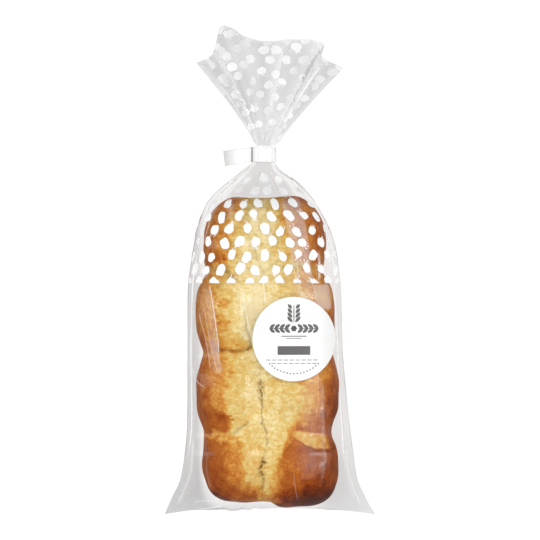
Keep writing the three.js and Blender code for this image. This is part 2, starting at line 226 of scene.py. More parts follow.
def loaf_skin():
    """Casts a ray from the loaf's axis through each point of a grid of rings, fanned out round both ends,
    and finds by halving where it leaves the dough or the flat base. Returns points and ray directions."""
    end_rings = LOAF_RINGS // 5
    tilt = np.concatenate([
        np.linspace(-0.5, 0, end_rings, endpoint=False), np.zeros(LOAF_RINGS - 2 * end_rings),
        np.linspace(0, 0.5, end_rings + 1)[1:],
    ]) * np.pi
    tilt[0] += POLE_OPENING
    tilt[-1] -= POLE_OPENING
    start = np.concatenate([
        np.full(end_rings, LOAF_AXIS_ENDS[0]), np.linspace(*LOAF_AXIS_ENDS, LOAF_RINGS - 2 * end_rings),
        np.full(end_rings, LOAF_AXIS_ENDS[1]),
    ])
    share = np.arange(LOAF_RING_POINTS) / LOAF_RING_POINTS
    turn = np.pi * np.where(
        share < LOAF_TOP_SHARE, share / LOAF_TOP_SHARE, 1 + (share - LOAF_TOP_SHARE) / (1 - LOAF_TOP_SHARE)
    )
    tilt, turn = np.meshgrid(tilt, turn, indexing="ij")
    rays = np.stack([np.cos(tilt) * np.cos(turn), np.sin(tilt), np.cos(tilt) * np.sin(turn)], -1)
    origin = np.stack([np.full_like(tilt, LOAF_AXIS_X), np.repeat(start[:, None], LOAF_RING_POINTS, 1),
                       np.full_like(tilt, LOAF_AXIS_Z)], -1)
    near, far = np.zeros(tilt.shape), np.full(tilt.shape, RAY_REACH)
    for _ in range(HALVINGS):
        middle = (near + far) / 2
        inside = dough(*np.moveaxis(origin + middle[..., None] * rays, -1, 0)) > 0
        near, far = np.where(inside, middle, near), np.where(inside, far, middle)
    return origin + near[..., None] * rays, rays


skin, rays = loaf_skin()
skin_x, skin_y, skin_z = np.moveaxis(skin, -1, 0)
# The lines of the bake wander, as [size of the wander, how far in mm, first of its two seeds]
WANDER = [[12, 2.0, 11], [4.5, 1.1, 13], [2.6, 0.5, 15]]
warp_x, warp_y = (sum(mottle(skin, size, seed + k) * far for size, far, seed in WANDER) for k in (0, 1))
plan_x, plan_y = skin_x + warp_x, skin_y + warp_y
upward = ease(skin_z, *CROWN_FROM)


def baked(x, y, table, loaf_side):
    """Browning on one side of the crack: it rises from the crack to the crumb's border, to golden and to
    brown crust and to the loaf's side, and straight between."""
    table = np.array(table, float)
    stops = [crack_x(y)] + [smooth_line(table[:, [0, k]])(y) for k in (1, 2, 3)] + [loaf_side + 0 * y]
    browned = np.full_like(x, CRACK_BROWNING)
    for near, far, rise in zip(stops[:-1], stops[1:], BAKE_RISES):
        browned += rise * np.clip((x - near) / (far - near + 1e-6), 0, 1)
    return browned


left_baked = baked(plan_x, plan_y, LEFT_BAKE, LOAF_SIDES_X[0])
browning = np.maximum(left_baked, baked(plan_x, plan_y, RIGHT_BAKE, LOAF_SIDES_X[1]))
for spot_x, spot_y, half_width, half_length, amount in BAKE_SPOTS:
    browning += amount * hill(np.hypot((plan_x - spot_x) / half_width, (plan_y - spot_y) / half_length), 1)
browning += 0.12 * ease(plan_y, 51, 58) + 0.08 * ease(-plan_y, 174, 188)
browning -= 0.085 * ease(plan_y, -70, -20)
golden = hill(browning - 0.4, 0.18)
browning += golden * (0.045 * mottle(skin, 6, 41) + 0.055 * mottle(skin, 3.0, 42, (1.8, 1, 1)))
browning += 0.03 * mottle(skin, 14, 43) + 0.04 * (1 - golden) * mottle(skin, 9, 46) * (browning < 0.3)
browning += 0.035 * mottle(skin, 4.2, 48, (1, 1.6, 1)) * (1 - ease(browning, 0.2, 0.36))
# The border between crumb and crust is crisp: browning is pushed away from the tone between them
from_border = browning - BORDER_BROWNING
browning += BORDER_PUSH * from_border * hill(from_border, BORDER_WIDTH) * upward
above = smooth_line(PALE_BAND_TOP)(skin_x) - skin_y
below = skin_y - smooth_line(PALE_BAND_FOOT)(skin_x) + 0.25 * mottle(skin, 6, 44)
pale_band = ease(above, -1, 2.2) * ease(below, -0.5, 1.2) * ease(skin_x, 15, 22)
pale_band *= ease(skin_z, 52, 64) * (1 - ease(skin_x, 42, 50))
band_line = hill(below + 0.5, 0.9) * ease(skin_x, 19, 27)
band_tone = 0.3 + 0.07 * mottle(skin, 6, 47) + 0.1 * ease(skin_x, 30, 44)
browning += pale_band * (band_tone - browning) + 0.07 * band_line * (above > 0)
# The flanks, against the tin, are even but for the joints, which stay paler
joints = sum(hill(plan_y - joint, 7) for joint in ROW_JOINTS_Y)
flank = FLANK_BROWNING - 0.09 * ease(plan_y, -80, -20) + 0.04 * mottle(skin, 18, 45) - 0.16 * joints
flank += 0.05 * mottle(skin, 7, 49, (1, 1, 1.6)) + 0.1 * ease(-skin_z, -12, 0)
browning = flank + (browning - flank) * ease(skin_z, *FLANK_TO_CROWN)
torn = (1 - ease(browning, 0.22, 0.44)) * upward

# The crack, bridged by strands, and the creases between the balls, with a ragged line. Their darkening is
# painted shade, smooth along the crack, creases, seam and side tear, and grainy where the crack is wide.
ragged = 0.6 * mottle(skin, 7, 21) + 0.35 * mottle(skin, 3, 22)
opening = crack_opening(skin_y)
from_crack = np.abs(skin_x - crack_x(skin_y) + ragged)
bridged = ease(mottle(skin, 5, 23) + opening, -0.3, 0.8)
crack = hill(from_crack, 1.1 + 0.5 * mottle(skin, 11, 24)) * bridged
crack *= ease(opening, 0.05, 0.6) * upward
crease = np.zeros_like(crack)
dark_crease = np.zeros_like(crack)
for darkness, width, *path in CREASES:
    line = path_distance(skin_x + 0.2 * warp_x, skin_y + 0.2 * warp_y, path)
    crease = np.maximum(crease, hill(line, 2.4) * ease(skin_z, 30, 52))
    dark_crease = np.maximum(dark_crease, darkness * hill(line, width) * upward)
tear_line = path_distance(skin_x + 0.3 * warp_x, skin_y, SIDE_TEAR)
side_tear = hill(tear_line, 0.9) * upward * ease(-skin_y, 6, 50)
seam_line = hill(from_crack, 0.5) * ease(opening, 0, 0.3) * upward
wide_open = ease(opening, 0.7, 1.1)
crumbly_shadow = hill(from_crack, 2.6) * wide_open * upward
shadow = (0.52 - 0.27 * wide_open) * crack + 0.2 * seam_line + dark_crease + 0.36 * side_tear

lumps = mottle(skin, 7, 31, (1.3, 1, 1)) + 0.5 * mottle(skin, 3.4, 32)
fibres = mottle(skin, 2.2, 33, (2.2, 1, 1))
valley = hill(from_crack, 5.5) * (0.3 + 0.7 * opening) * upward
relief = 0.5 * ease(browning, 0.3, 0.5) - 1.5 * valley - 1.1 * crack - 1.2 * crease - 0.9 * side_tear
relief += torn * (0.3 * lumps + 0.16 * fibres) + 0.4 * mottle(skin, 20, 34)
relief += golden * 0.12 * mottle(skin, 4, 35)
relief -= 0.3 * band_line * (above > 0) * upward
skin = skin + relief[..., None] * rays
skin[..., 2] = np.maximum(skin[..., 2], LOAF_BASE_Z)


def mesh_piece(name, places, faces, smooth=True):
    """Makes a mesh object from places in mm and faces, and puts it in the scene."""
    mesh = bpy.data.meshes.new(name)
    mesh.from_pydata((places * MM).tolist(), [], faces)
    if smooth:
        mesh.shade_smooth()
    piece = bpy.data.objects.new(name, mesh)
    bpy.context.scene.collection.objects.link(piece)
    return piece


def ring_mesh(name, points, poles=True):
    """Makes a mesh object from a grid of rings of points in mm. Each ring is closed on itself, and the
    first and last ring are closed to a point in their middle, or left open."""
    rings, count = points.shape[:2]
    places = points.reshape(-1, 3)
    index = np.arange(rings * count).reshape(rings, count)
    nexts = np.roll(index, -1, axis=1)
    faces = np.stack([index[:-1], index[1:], nexts[1:], nexts[:-1]], -1).reshape(-1, 4).tolist()
    if poles:
        places = np.vstack([places, points[0].mean(0), points[-1].mean(0)])
        first, last = rings * count, rings * count + 1
        faces += np.stack([index[0], nexts[0], np.full(count, first)], -1).tolist()
        faces += np.stack([nexts[-1], index[-1], np.full(count, last)], -1).tolist()
    return mesh_piece(name, places, faces)


def store(piece, name, values):
    """Keeps one number for each vertex as a mesh attribute. Poles, if any, take the mean of their ring."""
    spare = len(piece.data.vertices) - values.size
    flat = np.append(values, [values[0].mean(), values[-1].mean()][:spare]).astype(np.float32)
    piece.data.attributes.new(name, "FLOAT", "POINT").data.foreach_set("value", flat)


def srgb(hexes):
    """Turns an sRGB hex colour to linear red, green, blue and alpha."""
    c = np.array([int(hexes[i:i + 2], 16) / 255 for i in (1, 3, 5)])
    return (*np.where(c <= 0.04045, c / 12.92, ((c + 0.055) / 1.055) ** 2.4), 1.0)


def node(tree, kind, inputs=None, output=0, stops=(), **settings):
    """Adds a shader node and returns one of its outputs. inputs gives each socket, by name or number, a
    value or another node's output, and stops are the [position, hex] stops of a colour ramp."""
    made = tree.nodes.new("ShaderNode" + kind)
    for name, value in settings.items():
        setattr(made, name, value)
    for name, value in (inputs or {}).items():
        if isinstance(value, bpy.types.NodeSocket):
            tree.links.new(value, made.inputs[name])
        else:
            made.inputs[name].default_value = value
    for _ in stops[2:]:
        made.color_ramp.elements.new(0.5)
    for at, (position, colour) in enumerate(stops):
        made.color_ramp.elements[at].position = position
        made.color_ramp.elements[at].color = srgb(colour)
    return made.outputs[output]


def new_material(name):
    """Starts a material with no nodes but its output, whose surface socket comes third."""
    material = bpy.data.materials.new(name)
    material.use_nodes = True
    tree = material.node_tree
    tree.nodes.clear()
    return material, tree, tree.nodes.new("ShaderNodeOutputMaterial").inputs["Surface"]


# Baked brioche crust: egg wash gives a thin satin glaze over golden to dark brown, and the torn crumb
# is matt, pale and fibrous. Painted shade darkens the crack and the creases towards deep brown. Noise
# scales are in waves to the metre: grains of 2 mm, patches of 8 mm, fibres of 2.4 mm drawn out across
# the loaf, and puckers of 5 mm.
CRUST_STOPS = [
    [0.0, "#F3E3B4"], [0.12, "#EBD496"], [0.22, "#E0C276"], [0.32, "#DCB160"], [0.42, "#D9A14D"],
    [0.52, "#CB8538"], [0.62, "#B56524"], [0.74, "#9A4814"], [0.86, "#702D0B"], [1.0, "#481805"],
]
SHADE_STOPS = [[0.1, "#8C6C34"], [0.35, "#80511A"], [0.6, "#562808"]]
CRUMB_GRAINS = {"Scale": 520.0, "Detail": 3.0, "Roughness": 0.6}
CRUST_PATCHES = {"Scale": 130.0, "Detail": 4.0, "Roughness": 0.6}
CRUMB_FIBRES = {"Scale": 420.0, "Detail": 4.0, "Distortion": 0.8}
CRUST_PUCKERS = {"Scale": 210.0, "Detail": 1.5, "Distortion": 1.6}

crust_finish, tree, surface = new_material("egg_washed_brioche_crust")
loaf_looks = {"browning": browning, "torn": torn, "shadow": np.clip(shadow, 0, 1), "crumbly_shadow": crumbly_shadow}
browning_in, torn_in, shadow_in, crumbly_shadow_in = (
    node(tree, "Attribute", output="Fac", attribute_name=name) for name in loaf_looks
)
coords = node(tree, "TexCoord", output="Object")
drawn_out = node(tree, "Mapping", {"Vector": coords, "Scale": (0.5, 1.0, 0.8)})
fine, broad, fibre, pucker = (
    node(tree, "TexNoise", {"Vector": where, **pattern}, output="Fac") for where, pattern in (
        (coords, CRUMB_GRAINS), (coords, CRUST_PATCHES), (drawn_out, CRUMB_FIBRES), (coords, CRUST_PUCKERS),
    )
)
fold = node(tree, "Math", {0: pucker, 1: 0.5}, operation="SUBTRACT")
fold = node(tree, "Math", {0: fold}, operation="ABSOLUTE")
# Each row is what the look follows, the range there, and what it gives at either end of that range
wrinkle, wrinkle_shade_strength, speck, patch, strand, calm, crumb_shadow, roughness = (
    node(tree, "MapRange", {"Value": value, 1: low, 2: high, 3: at_low, 4: at_high})
    for value, low, high, at_low, at_high in (
        (fold, 0.0, 0.05, 1.0, 0.0), (browning_in, 0.42, 0.6, 0.09, 0.015),
        (fine, 0.3, 0.7, -0.045, 0.045), (broad, 0.3, 0.7, -0.055, 0.055),
        (fibre, 0.35, 0.65, 0.075, -0.075), (torn_in, 0.0, 1.0, 1.0, 0.6),
        (fine, 0.42, 0.57, 0.05, 0.85), (torn_in, 0.0, 1.0, 0.45, 0.8),
    )
)
# Painted shade: the puckers' fold lines are darkened, most where the crust is pale, and sunk in the bump
wrinkle_groove_and_shade, patch, strand, crumb_shadow = (
    node(tree, "Math", {0: one, 1: other}, operation="MULTIPLY")
    for one, other in ((wrinkle, wrinkle_shade_strength), (patch, calm), (strand, torn_in), (crumb_shadow, crumbly_shadow_in))
)
varied = browning_in
for change in (speck, patch, strand, wrinkle_groove_and_shade):
    varied = node(tree, "Math", {0: varied, 1: change}, operation="ADD")
crust_colour = node(tree, "ValToRGB", {"Fac": varied}, stops=CRUST_STOPS)
shade_colour = node(tree, "ValToRGB", {"Fac": varied}, stops=SHADE_STOPS)
# Painted shade: the crack and creases are mixed towards the deep browns, grainy where the crack is wide
shaded = node(tree, "Math", {0: shadow_in, 1: crumb_shadow}, operation="ADD", use_clamp=True)
skin_colour = node(tree, "Mix", {0: shaded, 6: crust_colour, 7: shade_colour}, output=2, data_type="RGBA")
bumpy = node(tree, "Mix", {0: torn_in, 2: fine, 3: fibre})
bumpy = node(tree, "Math", {0: bumpy, 1: wrinkle_groove_and_shade}, operation="SUBTRACT")
bump = node(tree, "Bump", {"Strength": 0.4, "Distance": 0.0005, "Height": bumpy})
crust = node(tree, "BsdfPrincipled", {
    "Base Color": skin_colour, "Roughness": roughness, "Normal": bump,
    "IOR": 1.45, "Specular IOR Level": 0.06,
    "Subsurface Weight": 0.12, "Subsurface Radius": (1.0, 0.5, 0.2), "Subsurface Scale": 0.002,
})
tree.links.new(crust, surface)

loaf = ring_mesh("brioche_loaf", skin)
for name, values in loaf_looks.items():
    store(loaf, name, values)
loaf.data.materials.append(crust_finish)
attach(loaf, "root")

# The bag: a tube of clear 40 micron polypropylene film, heat-sealed flat at one end. It is drawn tight
# over the loaf, gathers into folds at the neck, and spreads past the band as a pleated fan.
SEAL_Y = -190.4
NECK_START_Y = 86.4
NECK_END_Y = 98.4
SEAL_HALF_WIDTH = 84.8
SEAL_CORNER_SWEEP = 5.4
SEAL_CORNER_SAG = 19.0
CORNER_START_Y = -146.0
LEFT_EDGE = [
    [SEAL_Y, -SEAL_HALF_WIDTH], [-176.5, -77.8], [-165, -71.6], [-142, -67.4], [-125, -66], [-20, -65.6],
    [18, -61.2], [50, -52.4], [61, -44.4], [80, -21.2], [NECK_START_Y, -13],
]
RIGHT_EDGE = [
    [SEAL_Y, SEAL_HALF_WIDTH], [-176.5, 76], [-165, 69.8], [-142, 66], [-104, 61.2], [-64, 58],
    [-14, 56.4], [18, 52.4], [50, 38.8], [70, 22.8], [80, 7.6], [NECK_START_Y, 3.4],
]
CROWN_LINE = [
    [SEAL_Y, 32.7], [-189.4, 49], [-187.4, 59], [-184.4, 66.5], [-178, 74], [-168, 79.2], [-155, 81.5],
    [-142, 82], [16, 81.5], [34, 79], [45, 74], [54, 65], [61, 53.5], [72, 41.5], [NECK_START_Y, 33.2],
]
WIDEST_LINE = [[SEAL_Y, 32], [-165, 35], [-140, 36], [40, 36], [NECK_START_Y, 27]]
UNDERSIDE_LINE = [
    [SEAL_Y, 31.3], [-188.6, 20], [-185, 7], [-179, 0], [-170, -2.5], [40, -2.5], [52, 2], [66, 12],
    [NECK_START_Y, 20.8],
]
UPPER_FULLNESS = [
    [SEAL_Y, 1.3], [-184, 1.75], [-172, 2.2], [-158, 2.8], [-142, 3.1], [46, 3.1], [64, 2.3],
    [NECK_START_Y, 2],
]
LOWER_FULLNESS = [
    [SEAL_Y, 1.3], [-184, 1.9], [-172, 2.6], [-158, 3.8], [-142, 4.6], [46, 4.6], [64, 2.6],
    [NECK_START_Y, 2],
]
# The seal's edge is a little wavy, as [x, distance along the pack], and the waves die out inside the bag
SEAL_WAVES = [
    [-85, -0.6], [-62, 0.3], [-48, -0.4], [-36, -0.9], [-31, -2.0], [-26, -1.7], [-22, -1.0], [-17, -1.7],
    [-12.6, -0.2], [-6, -0.6], [1, -0.2], [40, -0.1], [47, -0.7], [54, -0.2], [85, -0.6],
]
SEAL_WAVE_REACH = 5.0
ROW_JOINT_WIDTH = 12.0
ROW_JOINT_DIP = 5.6
ROW_JOINT_DIP_LOST_AT_TEAR = 0.45
TEAR_X = -6.5
TEAR_WIDTH = 15.0
TEAR_DIP = 5.0
DIPS_START_Y = (-186, -160)
DIPS_END_Y = (30, 56)
DIP_LEVELS = (0.25, 0.85)
LABEL_X = 18.8
LABEL_Y = -54.6
LABEL_HALF_WIDTH = 32.7
LABEL_HALF_HEIGHT = 33.4
LABEL_STIFFNESS = 0.8
LABEL_STIFF_BORDER = 14.0
LABEL_FLAT_BORDER = 8.0
NECK_X = -4.8
NECK_Z = 27.0
NECK_HALF_WIDTH = 8.2
NECK_HALF_HEIGHT = 6.2

# The mouth's edge as [across, x, y, height of the pleat], from the left tip to the right one. The
# right-hand corner folds over, so x turns back there.
MOUTH = np.array([
    [-1.0, -59.6, 166.6, 0.0], [-0.88, -51.0, 170.2, -5.0], [-0.79, -45.6, 174.6, 1.0],
    [-0.73, -44.0, 179.0, 6.0], [-0.66, -42.4, 187.6, 5.5], [-0.6, -40.8, 194.4, 4.2],
    [-0.55, -37.6, 196.9, 3.0], [-0.48, -32.6, 195.6, 1.2], [-0.3, -18.5, 187.4, -2.5],
    [-0.05, -2.5, 184.0, -0.5], [0.15, 10.0, 185.0, 2.5], [0.4, 27.0, 185.8, -1.0], [0.6, 41.4, 183.4, 4.0],
    [0.69, 43.6, 181.0, 6.0], [0.76, 38.4, 177.2, 4.0], [0.83, 41.6, 171.8, -3.0], [1.0, 58.6, 162.6, 0.0],
])
FAN_FLARE = 1.2
FAN_FLARE_FALL = 0.14
FAN_NECK = (-3.7, 7.1)
FAN_HALF_THICKNESS = 1.4
FAN_FLATTENING = 7.0
FAN_DROOP = 13.0
FILM_RING_POINTS = 312
SEAL_REACH = 32.0
SEAL_RINGS, BODY_RINGS, NECK_RINGS, FAN_RINGS = 42, 172, 6, 76
# The small steps that give a surface's normal, round the section, along the pack and out over the fan
TURN_STEP, BODY_STEP, FAN_STEP = 0.002, 0.02, 0.0005

# Folds drawn along the film over the loaf and its flanks, as [height, width, (x, y), (x, y), ...]
FOLDS = [
    [0.35, 1.1, (-53.2, -8), (-46.5, -46), (-41, -62), (-35.5, -84)],
    [0.25, 0.9, (-50, -4), (-43, -44), (-36, -66)], [0.3, 1.0, (-27, -10), (-23, -30), (-22.5, -44)],
    [0.28, 0.9, (-4, -8), (0.8, -26)], [0.3, 0.9, (22.5, 8), (26, -22)],
    [0.3, 1.0, (37, 26), (37.6, 0), (40, -14)], [0.2, 1.0, (33, 12), (32, -4)],
    [0.3, 1.4, (-84, -194.4), (-76, -183), (-69, -166), (-63, -140)],
    [0.5, 2.2, (-78, -193), (-67, -182), (-61, -164)],
    [0.4, 1.8, (84, -194.4), (75, -183), (67, -166), (61, -140)],
    [0.5, 2.4, (76, -193), (66, -184), (60, -170)],
    [0.6, 2.4, (-52, -190.6), (-46, -187.6), (-38, -189.6)],
    [0.35, 1.2, (-61, -86), (-58.5, -120), (-62, -150)], [0.35, 1.1, (59, -60), (60.5, -100), (63, -130)],
]

# Folds that run the length of the bag in its sides, as [angle round the section, height, width]
SIDE_FOLDS = [
    [0.44, 0.55, 0.03], [0.57, -0.5, 0.035], [0.69, 0.4, 0.03], [-0.42, 0.6, 0.04], [-0.62, 0.5, 0.04],
    [2.7, 0.55, 0.03], [2.57, -0.5, 0.035], [2.45, 0.45, 0.03], [3.56, 0.6, 0.04], [3.76, 0.5, 0.04],
]

left_edge, right_edge, crown_line, widest_line, underside_line = (
    smooth_line(line) for line in (LEFT_EDGE, RIGHT_EDGE, CROWN_LINE, WIDEST_LINE, UNDERSIDE_LINE)
)
upper_fullness, lower_fullness, seal_waves = (
    smooth_line(line) for line in (UPPER_FULLNESS, LOWER_FULLNESS, SEAL_WAVES)
)
mouth_x, mouth_y, mouth_pleat = (smooth_line(MOUTH[:, [0, k]]) for k in (1, 2, 3))
# The underside doesn't fold back
mouth_under_x = smooth_line(np.stack([MOUTH[:, 0], np.minimum.accumulate(MOUTH[::-1, 1])[::-1]], 1))


def loaf_dip(x, y):
    """Depth of the film's dips between the balls: a bell across each row's joint and one along the tear."""
    from_label = np.hypot(x - LABEL_X, y - LABEL_Y) - LABEL_HALF_HEIGHT
    free = 1 - LABEL_STIFFNESS * (1 - ease(from_label, 0, LABEL_STIFF_BORDER))
    rows = sum(hill(y - joint, ROW_JOINT_WIDTH) for joint in ROW_JOINTS_Y)
    tear = hill(x - TEAR_X, TEAR_WIDTH)
    over_loaf = free * ease(y, *DIPS_START_Y) * (1 - ease(y, *DIPS_END_Y))
    return over_loaf * (ROW_JOINT_DIP * (1 - ROW_JOINT_DIP_LOST_AT_TEAR * tear) * rows + TEAR_DIP * tear)


def smooth_body(turn, y):
    """The film round the loaf before it is creased: at each place along the pack a superellipse between
    the film's edges, crown and underside, with other fullness above and below, less the dips."""
    upper = np.sin(turn) > 0
    fullness = np.where(upper, upper_fullness(y), lower_fullness(y))
    c, s = np.cos(turn), np.sin(turn)
    size = (np.abs(c) ** fullness + np.abs(s) ** fullness) ** (1 / fullness)
    across, level = c / size, s / size
    left, right = left_edge(y), right_edge(y)
    x = (left + right) / 2 + across * (right - left) / 2
    corner = 1 - ease(y, SEAL_Y, CORNER_START_Y)
    place_y = y - corner * SEAL_CORNER_SWEEP * np.abs(across) ** 2.5
    place_y = place_y + seal_waves(x) * hill(y - SEAL_Y, SEAL_WAVE_REACH)
    widest = widest_line(y) - corner * SEAL_CORNER_SAG * np.abs(across) ** 3
    reach = np.where(upper, crown_line(y) - widest_line(y), widest_line(y) - underside_line(y))
    dip = np.where(upper, loaf_dip(x, y) * ease(level, *DIP_LEVELS), 0)
    return np.stack([x, place_y, np.maximum(widest + level * reach - dip, 0)], -1)


def body_creases(turn, y, place):
    """How far the film stands out in mm: gathers that grow towards the neck, long side folds, the drawn
    folds on the upper face, and a soft unevenness, all held down under the label and on the base."""
    to_neck = hill(y - NECK_START_Y + 10, 20) * ease(NECK_START_Y - y, 0, 4)
    gathers = np.cos(13 * turn + 0.6) + 0.6 * np.cos(22 * turn + 2.1 + 0.02 * y)
    out = 0.6 * to_neck * (gathers + 0.5 * np.cos(7 * turn + 1.0))
    for angle, height, width in SIDE_FOLDS:
        sway = angle + 0.03 * np.sin(y / 26 + 5 * angle)
        apart = (turn - sway + np.pi) % (2 * np.pi) - np.pi
        out += height * hill(apart, width) * ease(y, SEAL_Y, -150) * (1 - ease(y, 66, 84))
    upper = ease(np.sin(turn), 0.02, 0.1)
    for height, width, *path in FOLDS:
        out += height * hill(path_distance(place[..., 0], place[..., 1], path), width) * upper
    out += 0.22 * mottle(place, 16, 61, (1, 4, 1)) + 0.08 * mottle(place, 6, 62, (1, 5, 1))
    from_label = np.hypot(place[..., 0] - LABEL_X, place[..., 1] - LABEL_Y) - LABEL_HALF_HEIGHT
    held = ease(from_label, 0, LABEL_FLAT_BORDER) + (1 - upper)
    return out * np.clip(held, 0, 1) * ease(place[..., 2], 0.2, 6) * ease(y, SEAL_Y, SEAL_Y + 3)


def smooth_fan(turn, share):
    """The fan: each line of film runs from the neck out to its own place on the mouth's edge. The two
    layers ride on one pleated wave, and lie close together past the neck."""
    across, level = np.cos(turn), np.sin(turn)
    neck_x = FAN_NECK[0] + FAN_NECK[1] * across
    edge_x = np.where(level < 0, mouth_under_x(across), mouth_x(across))
    x = neck_x + (edge_x - neck_x) * share ** (FAN_FLARE - FAN_FLARE_FALL * np.maximum(across, 0))
    y = NECK_END_Y + (mouth_y(across) - NECK_END_Y) * share
    y = y - np.where(level < 0, 0.9, 0) * ease(share, 0.7, 1) * (1 - across ** 2)
    middle = NECK_Z - FAN_DROOP * share ** 1.4 + ease(share, 0, 1) * mouth_pleat(across)
    thickness = FAN_HALF_THICKNESS + (NECK_HALF_HEIGHT - FAN_HALF_THICKNESS) * np.exp(-FAN_FLATTENING * share)
    return np.stack([x, y, middle + thickness * level], -1)


def fan_creases(turn, share, place):
    """How far the fan's film stands out: fine creases that run out from the neck and fade, and ripples."""
    across = np.cos(turn)
    fine = np.cos(31 * across + 0.8) + 0.7 * np.cos(47 * across + 2.0) + 0.5 * np.cos(19 * across)
    near_neck = hill(share - 0.12, 0.3) * ease(share, 0, 0.05)
    out = np.sign(np.sin(turn)) * fine * (0.2 * near_neck + 0.04 * share)
    return out + 0.3 * mottle(place, 44, 63, (1, 2, 1)) * ease(share, 0.1, 0.5)


def creased(smooth, creases, turn, along, step):
    """A film surface with its creases: the smooth surface moved along its normal, which comes from small
    steps along both of its directions."""
    place = smooth(turn, along)
    round_it = smooth(turn + TURN_STEP, along) - smooth(turn - TURN_STEP, along)
    down_it = smooth(turn, along + step) - smooth(turn, along - step)
    normal = np.cross(down_it, round_it)
    normal /= np.maximum(np.linalg.norm(normal, axis=-1, keepdims=True), 1e-9)
    out = creases(turn, along, place)
    return place + normal * out[..., None], normal


def body_film(turn, y):
    """The creased film round the loaf, with its outward normal."""
    inside = np.minimum(y, NECK_START_Y - BODY_STEP)
    return creased(smooth_body, body_creases, turn, inside, BODY_STEP)


def fan_film(turn, share):
    """The creased film of the fan, with its outward normal, for a share above 0. At 0, the neck itself, the
    small step back has no value, and so neither has the result: the fan's first ring isn't finite."""
    return creased(smooth_fan, fan_creases, turn, share, FAN_STEP)


def neck_film(turn, y):
    """The gathered neck inside the band: an ellipse with fine folds."""
    out = 1 + 0.03 * np.cos(26 * turn)
    return np.stack([NECK_X + NECK_HALF_WIDTH * np.cos(turn) * out, y + 0 * turn,
                     NECK_Z + NECK_HALF_HEIGHT * np.sin(turn) * out], -1)


turns = 2 * np.pi * np.arange(FILM_RING_POINTS) / FILM_RING_POINTS
seal_part = SEAL_Y + SEAL_REACH * (np.arange(SEAL_RINGS) / SEAL_RINGS) ** 1.7
body_part = np.linspace(SEAL_Y + SEAL_REACH, NECK_START_Y, BODY_RINGS, endpoint=False)
neck_part = np.linspace(NECK_START_Y, NECK_END_Y, NECK_RINGS, endpoint=False)
fan_part = np.linspace(0, 1, FAN_RINGS)
body_points = body_film(*np.meshgrid(turns, np.append(seal_part, body_part)))[0]
body_points[0, :, 2] = (body_points[0, :, 2] + np.roll(body_points[0, ::-1, 2], 1)) / 2
film_points = np.concatenate([
    body_points, neck_film(*np.meshgrid(turns, neck_part)), fan_film(*np.meshgrid(turns, fan_part))[0],
])

# The fan's pleats that lie in shade or catch the light, as [across, width, darker or paler]
FAN_SHADES = [
    [-0.88, 0.07, 0.4], [-0.76, 0.035, -0.25], [-0.64, 0.07, 0.45], [-0.45, 0.05, 0.15],
    [-0.28, 0.1, -0.12], [-0.1, 0.06, 0.15], [0.12, 0.1, -0.15], [0.32, 0.06, -0.1], [0.56, 0.07, -0.25],
    [0.72, 0.06, -0.4], [0.8, 0.04, -0.35], [0.93, 0.05, 0.3],
]
FAN_MILKINESS = 0.12
# The loaf's outline in plan, a squared oval, as its middle and half its size across and along the pack
LOAF_PLAN = ((-3.5, 52), (-64, 124))
LOAF_PLAN_SQUARENESS = 8

# Slack film is crumpled finer than the mesh, and so looks greyer: in the margins beside the loaf, most
# towards the sealed end, in the shoulders except near their edges, and in the fan. On the fan, pleats that
# face outwards are greyer still, as painted shade.
film_x, film_y = film_points[..., 0], film_points[..., 1]
edge_left, edge_right = left_edge(film_y), right_edge(film_y)
to_edge = np.abs(2 * film_x - edge_left - edge_right) / (edge_right - edge_left)
off_loaf = sum(np.abs((at - middle) / half) ** LOAF_PLAN_SQUARENESS
               for at, (middle, half) in zip((film_x, film_y), LOAF_PLAN))
beside = ease(off_loaf ** (1 / LOAF_PLAN_SQUARENESS), 0.97, 1.07)
shoulder = ease(film_y, 46, 64)
low_corner = ease(-film_y, 120, 175)
on_left = ease(-film_x, -10, 10)
slack_and_shade = (1 - shoulder) * beside * (0.26 + 0.42 * on_left + 0.34 * low_corner)
slack_and_shade += shoulder * (0.52 - 0.5 * ease(to_edge, 0.6, 0.74))
slack_and_shade *= 1 + 0.12 * mottle(film_points, 34, 65, (1, 3, 1))
steps = np.roll(film_points, -1, axis=1) - np.roll(film_points, 1, axis=1)
pleat_slope = steps[..., 2] / np.where(np.abs(steps[..., 0]) < 0.05, 0.05, steps[..., 0])
outward = -np.sign(film_x - NECK_X) * pleat_slope
in_fan = ease(film_y, NECK_END_Y, NECK_END_Y + 14)
across_film = np.cos(turns)[None, :] + 0 * film_x
fan_slack_and_shade = 0.44 + 0.12 * np.tanh(1.6 * outward) + 0.12 * mottle(film_points, 38, 64)
for pleat, width, darker in FAN_SHADES:
    fan_slack_and_shade += darker * hill(across_film - pleat, width)
slack_and_shade += in_fan * (np.clip(fan_slack_and_shade, 0.1, 1) - slack_and_shade)

# Clear cast polypropylene: a faint mirror, and a little more of one edge on, over film that looks greyer
# where it is crumpled or seen edge on, and in painted shade on the fan's pleats, and a little milky in the
# fan
film_finish, tree, surface = new_material("clear_polypropylene_film")
slack_and_shade_in = node(tree, "Attribute", output="Fac", attribute_name="slack_and_shade")
milky_in = node(tree, "Attribute", output="Fac", attribute_name="milky")
glance = node(tree, "LayerWeight", {"Blend": 0.5}, output="Facing")
steep = node(tree, "Math", {0: glance, 1: 7.0}, operation="POWER")
mirror = node(tree, "MapRange", {"Value": steep, 3: 0.028, 4: 0.1})
longer = node(tree, "Math", {0: glance, 1: 4.0}, operation="POWER")
longer = node(tree, "Math", {0: longer, 1: 0.2}, operation="MULTIPLY")
grey = node(tree, "Math", {0: slack_and_shade_in, 1: longer}, operation="MAXIMUM")
tint = node(tree, "ValToRGB", {"Fac": grey}, stops=[[0.0, "#F8F8F8"], [1.0, "#E3E3E3"]])
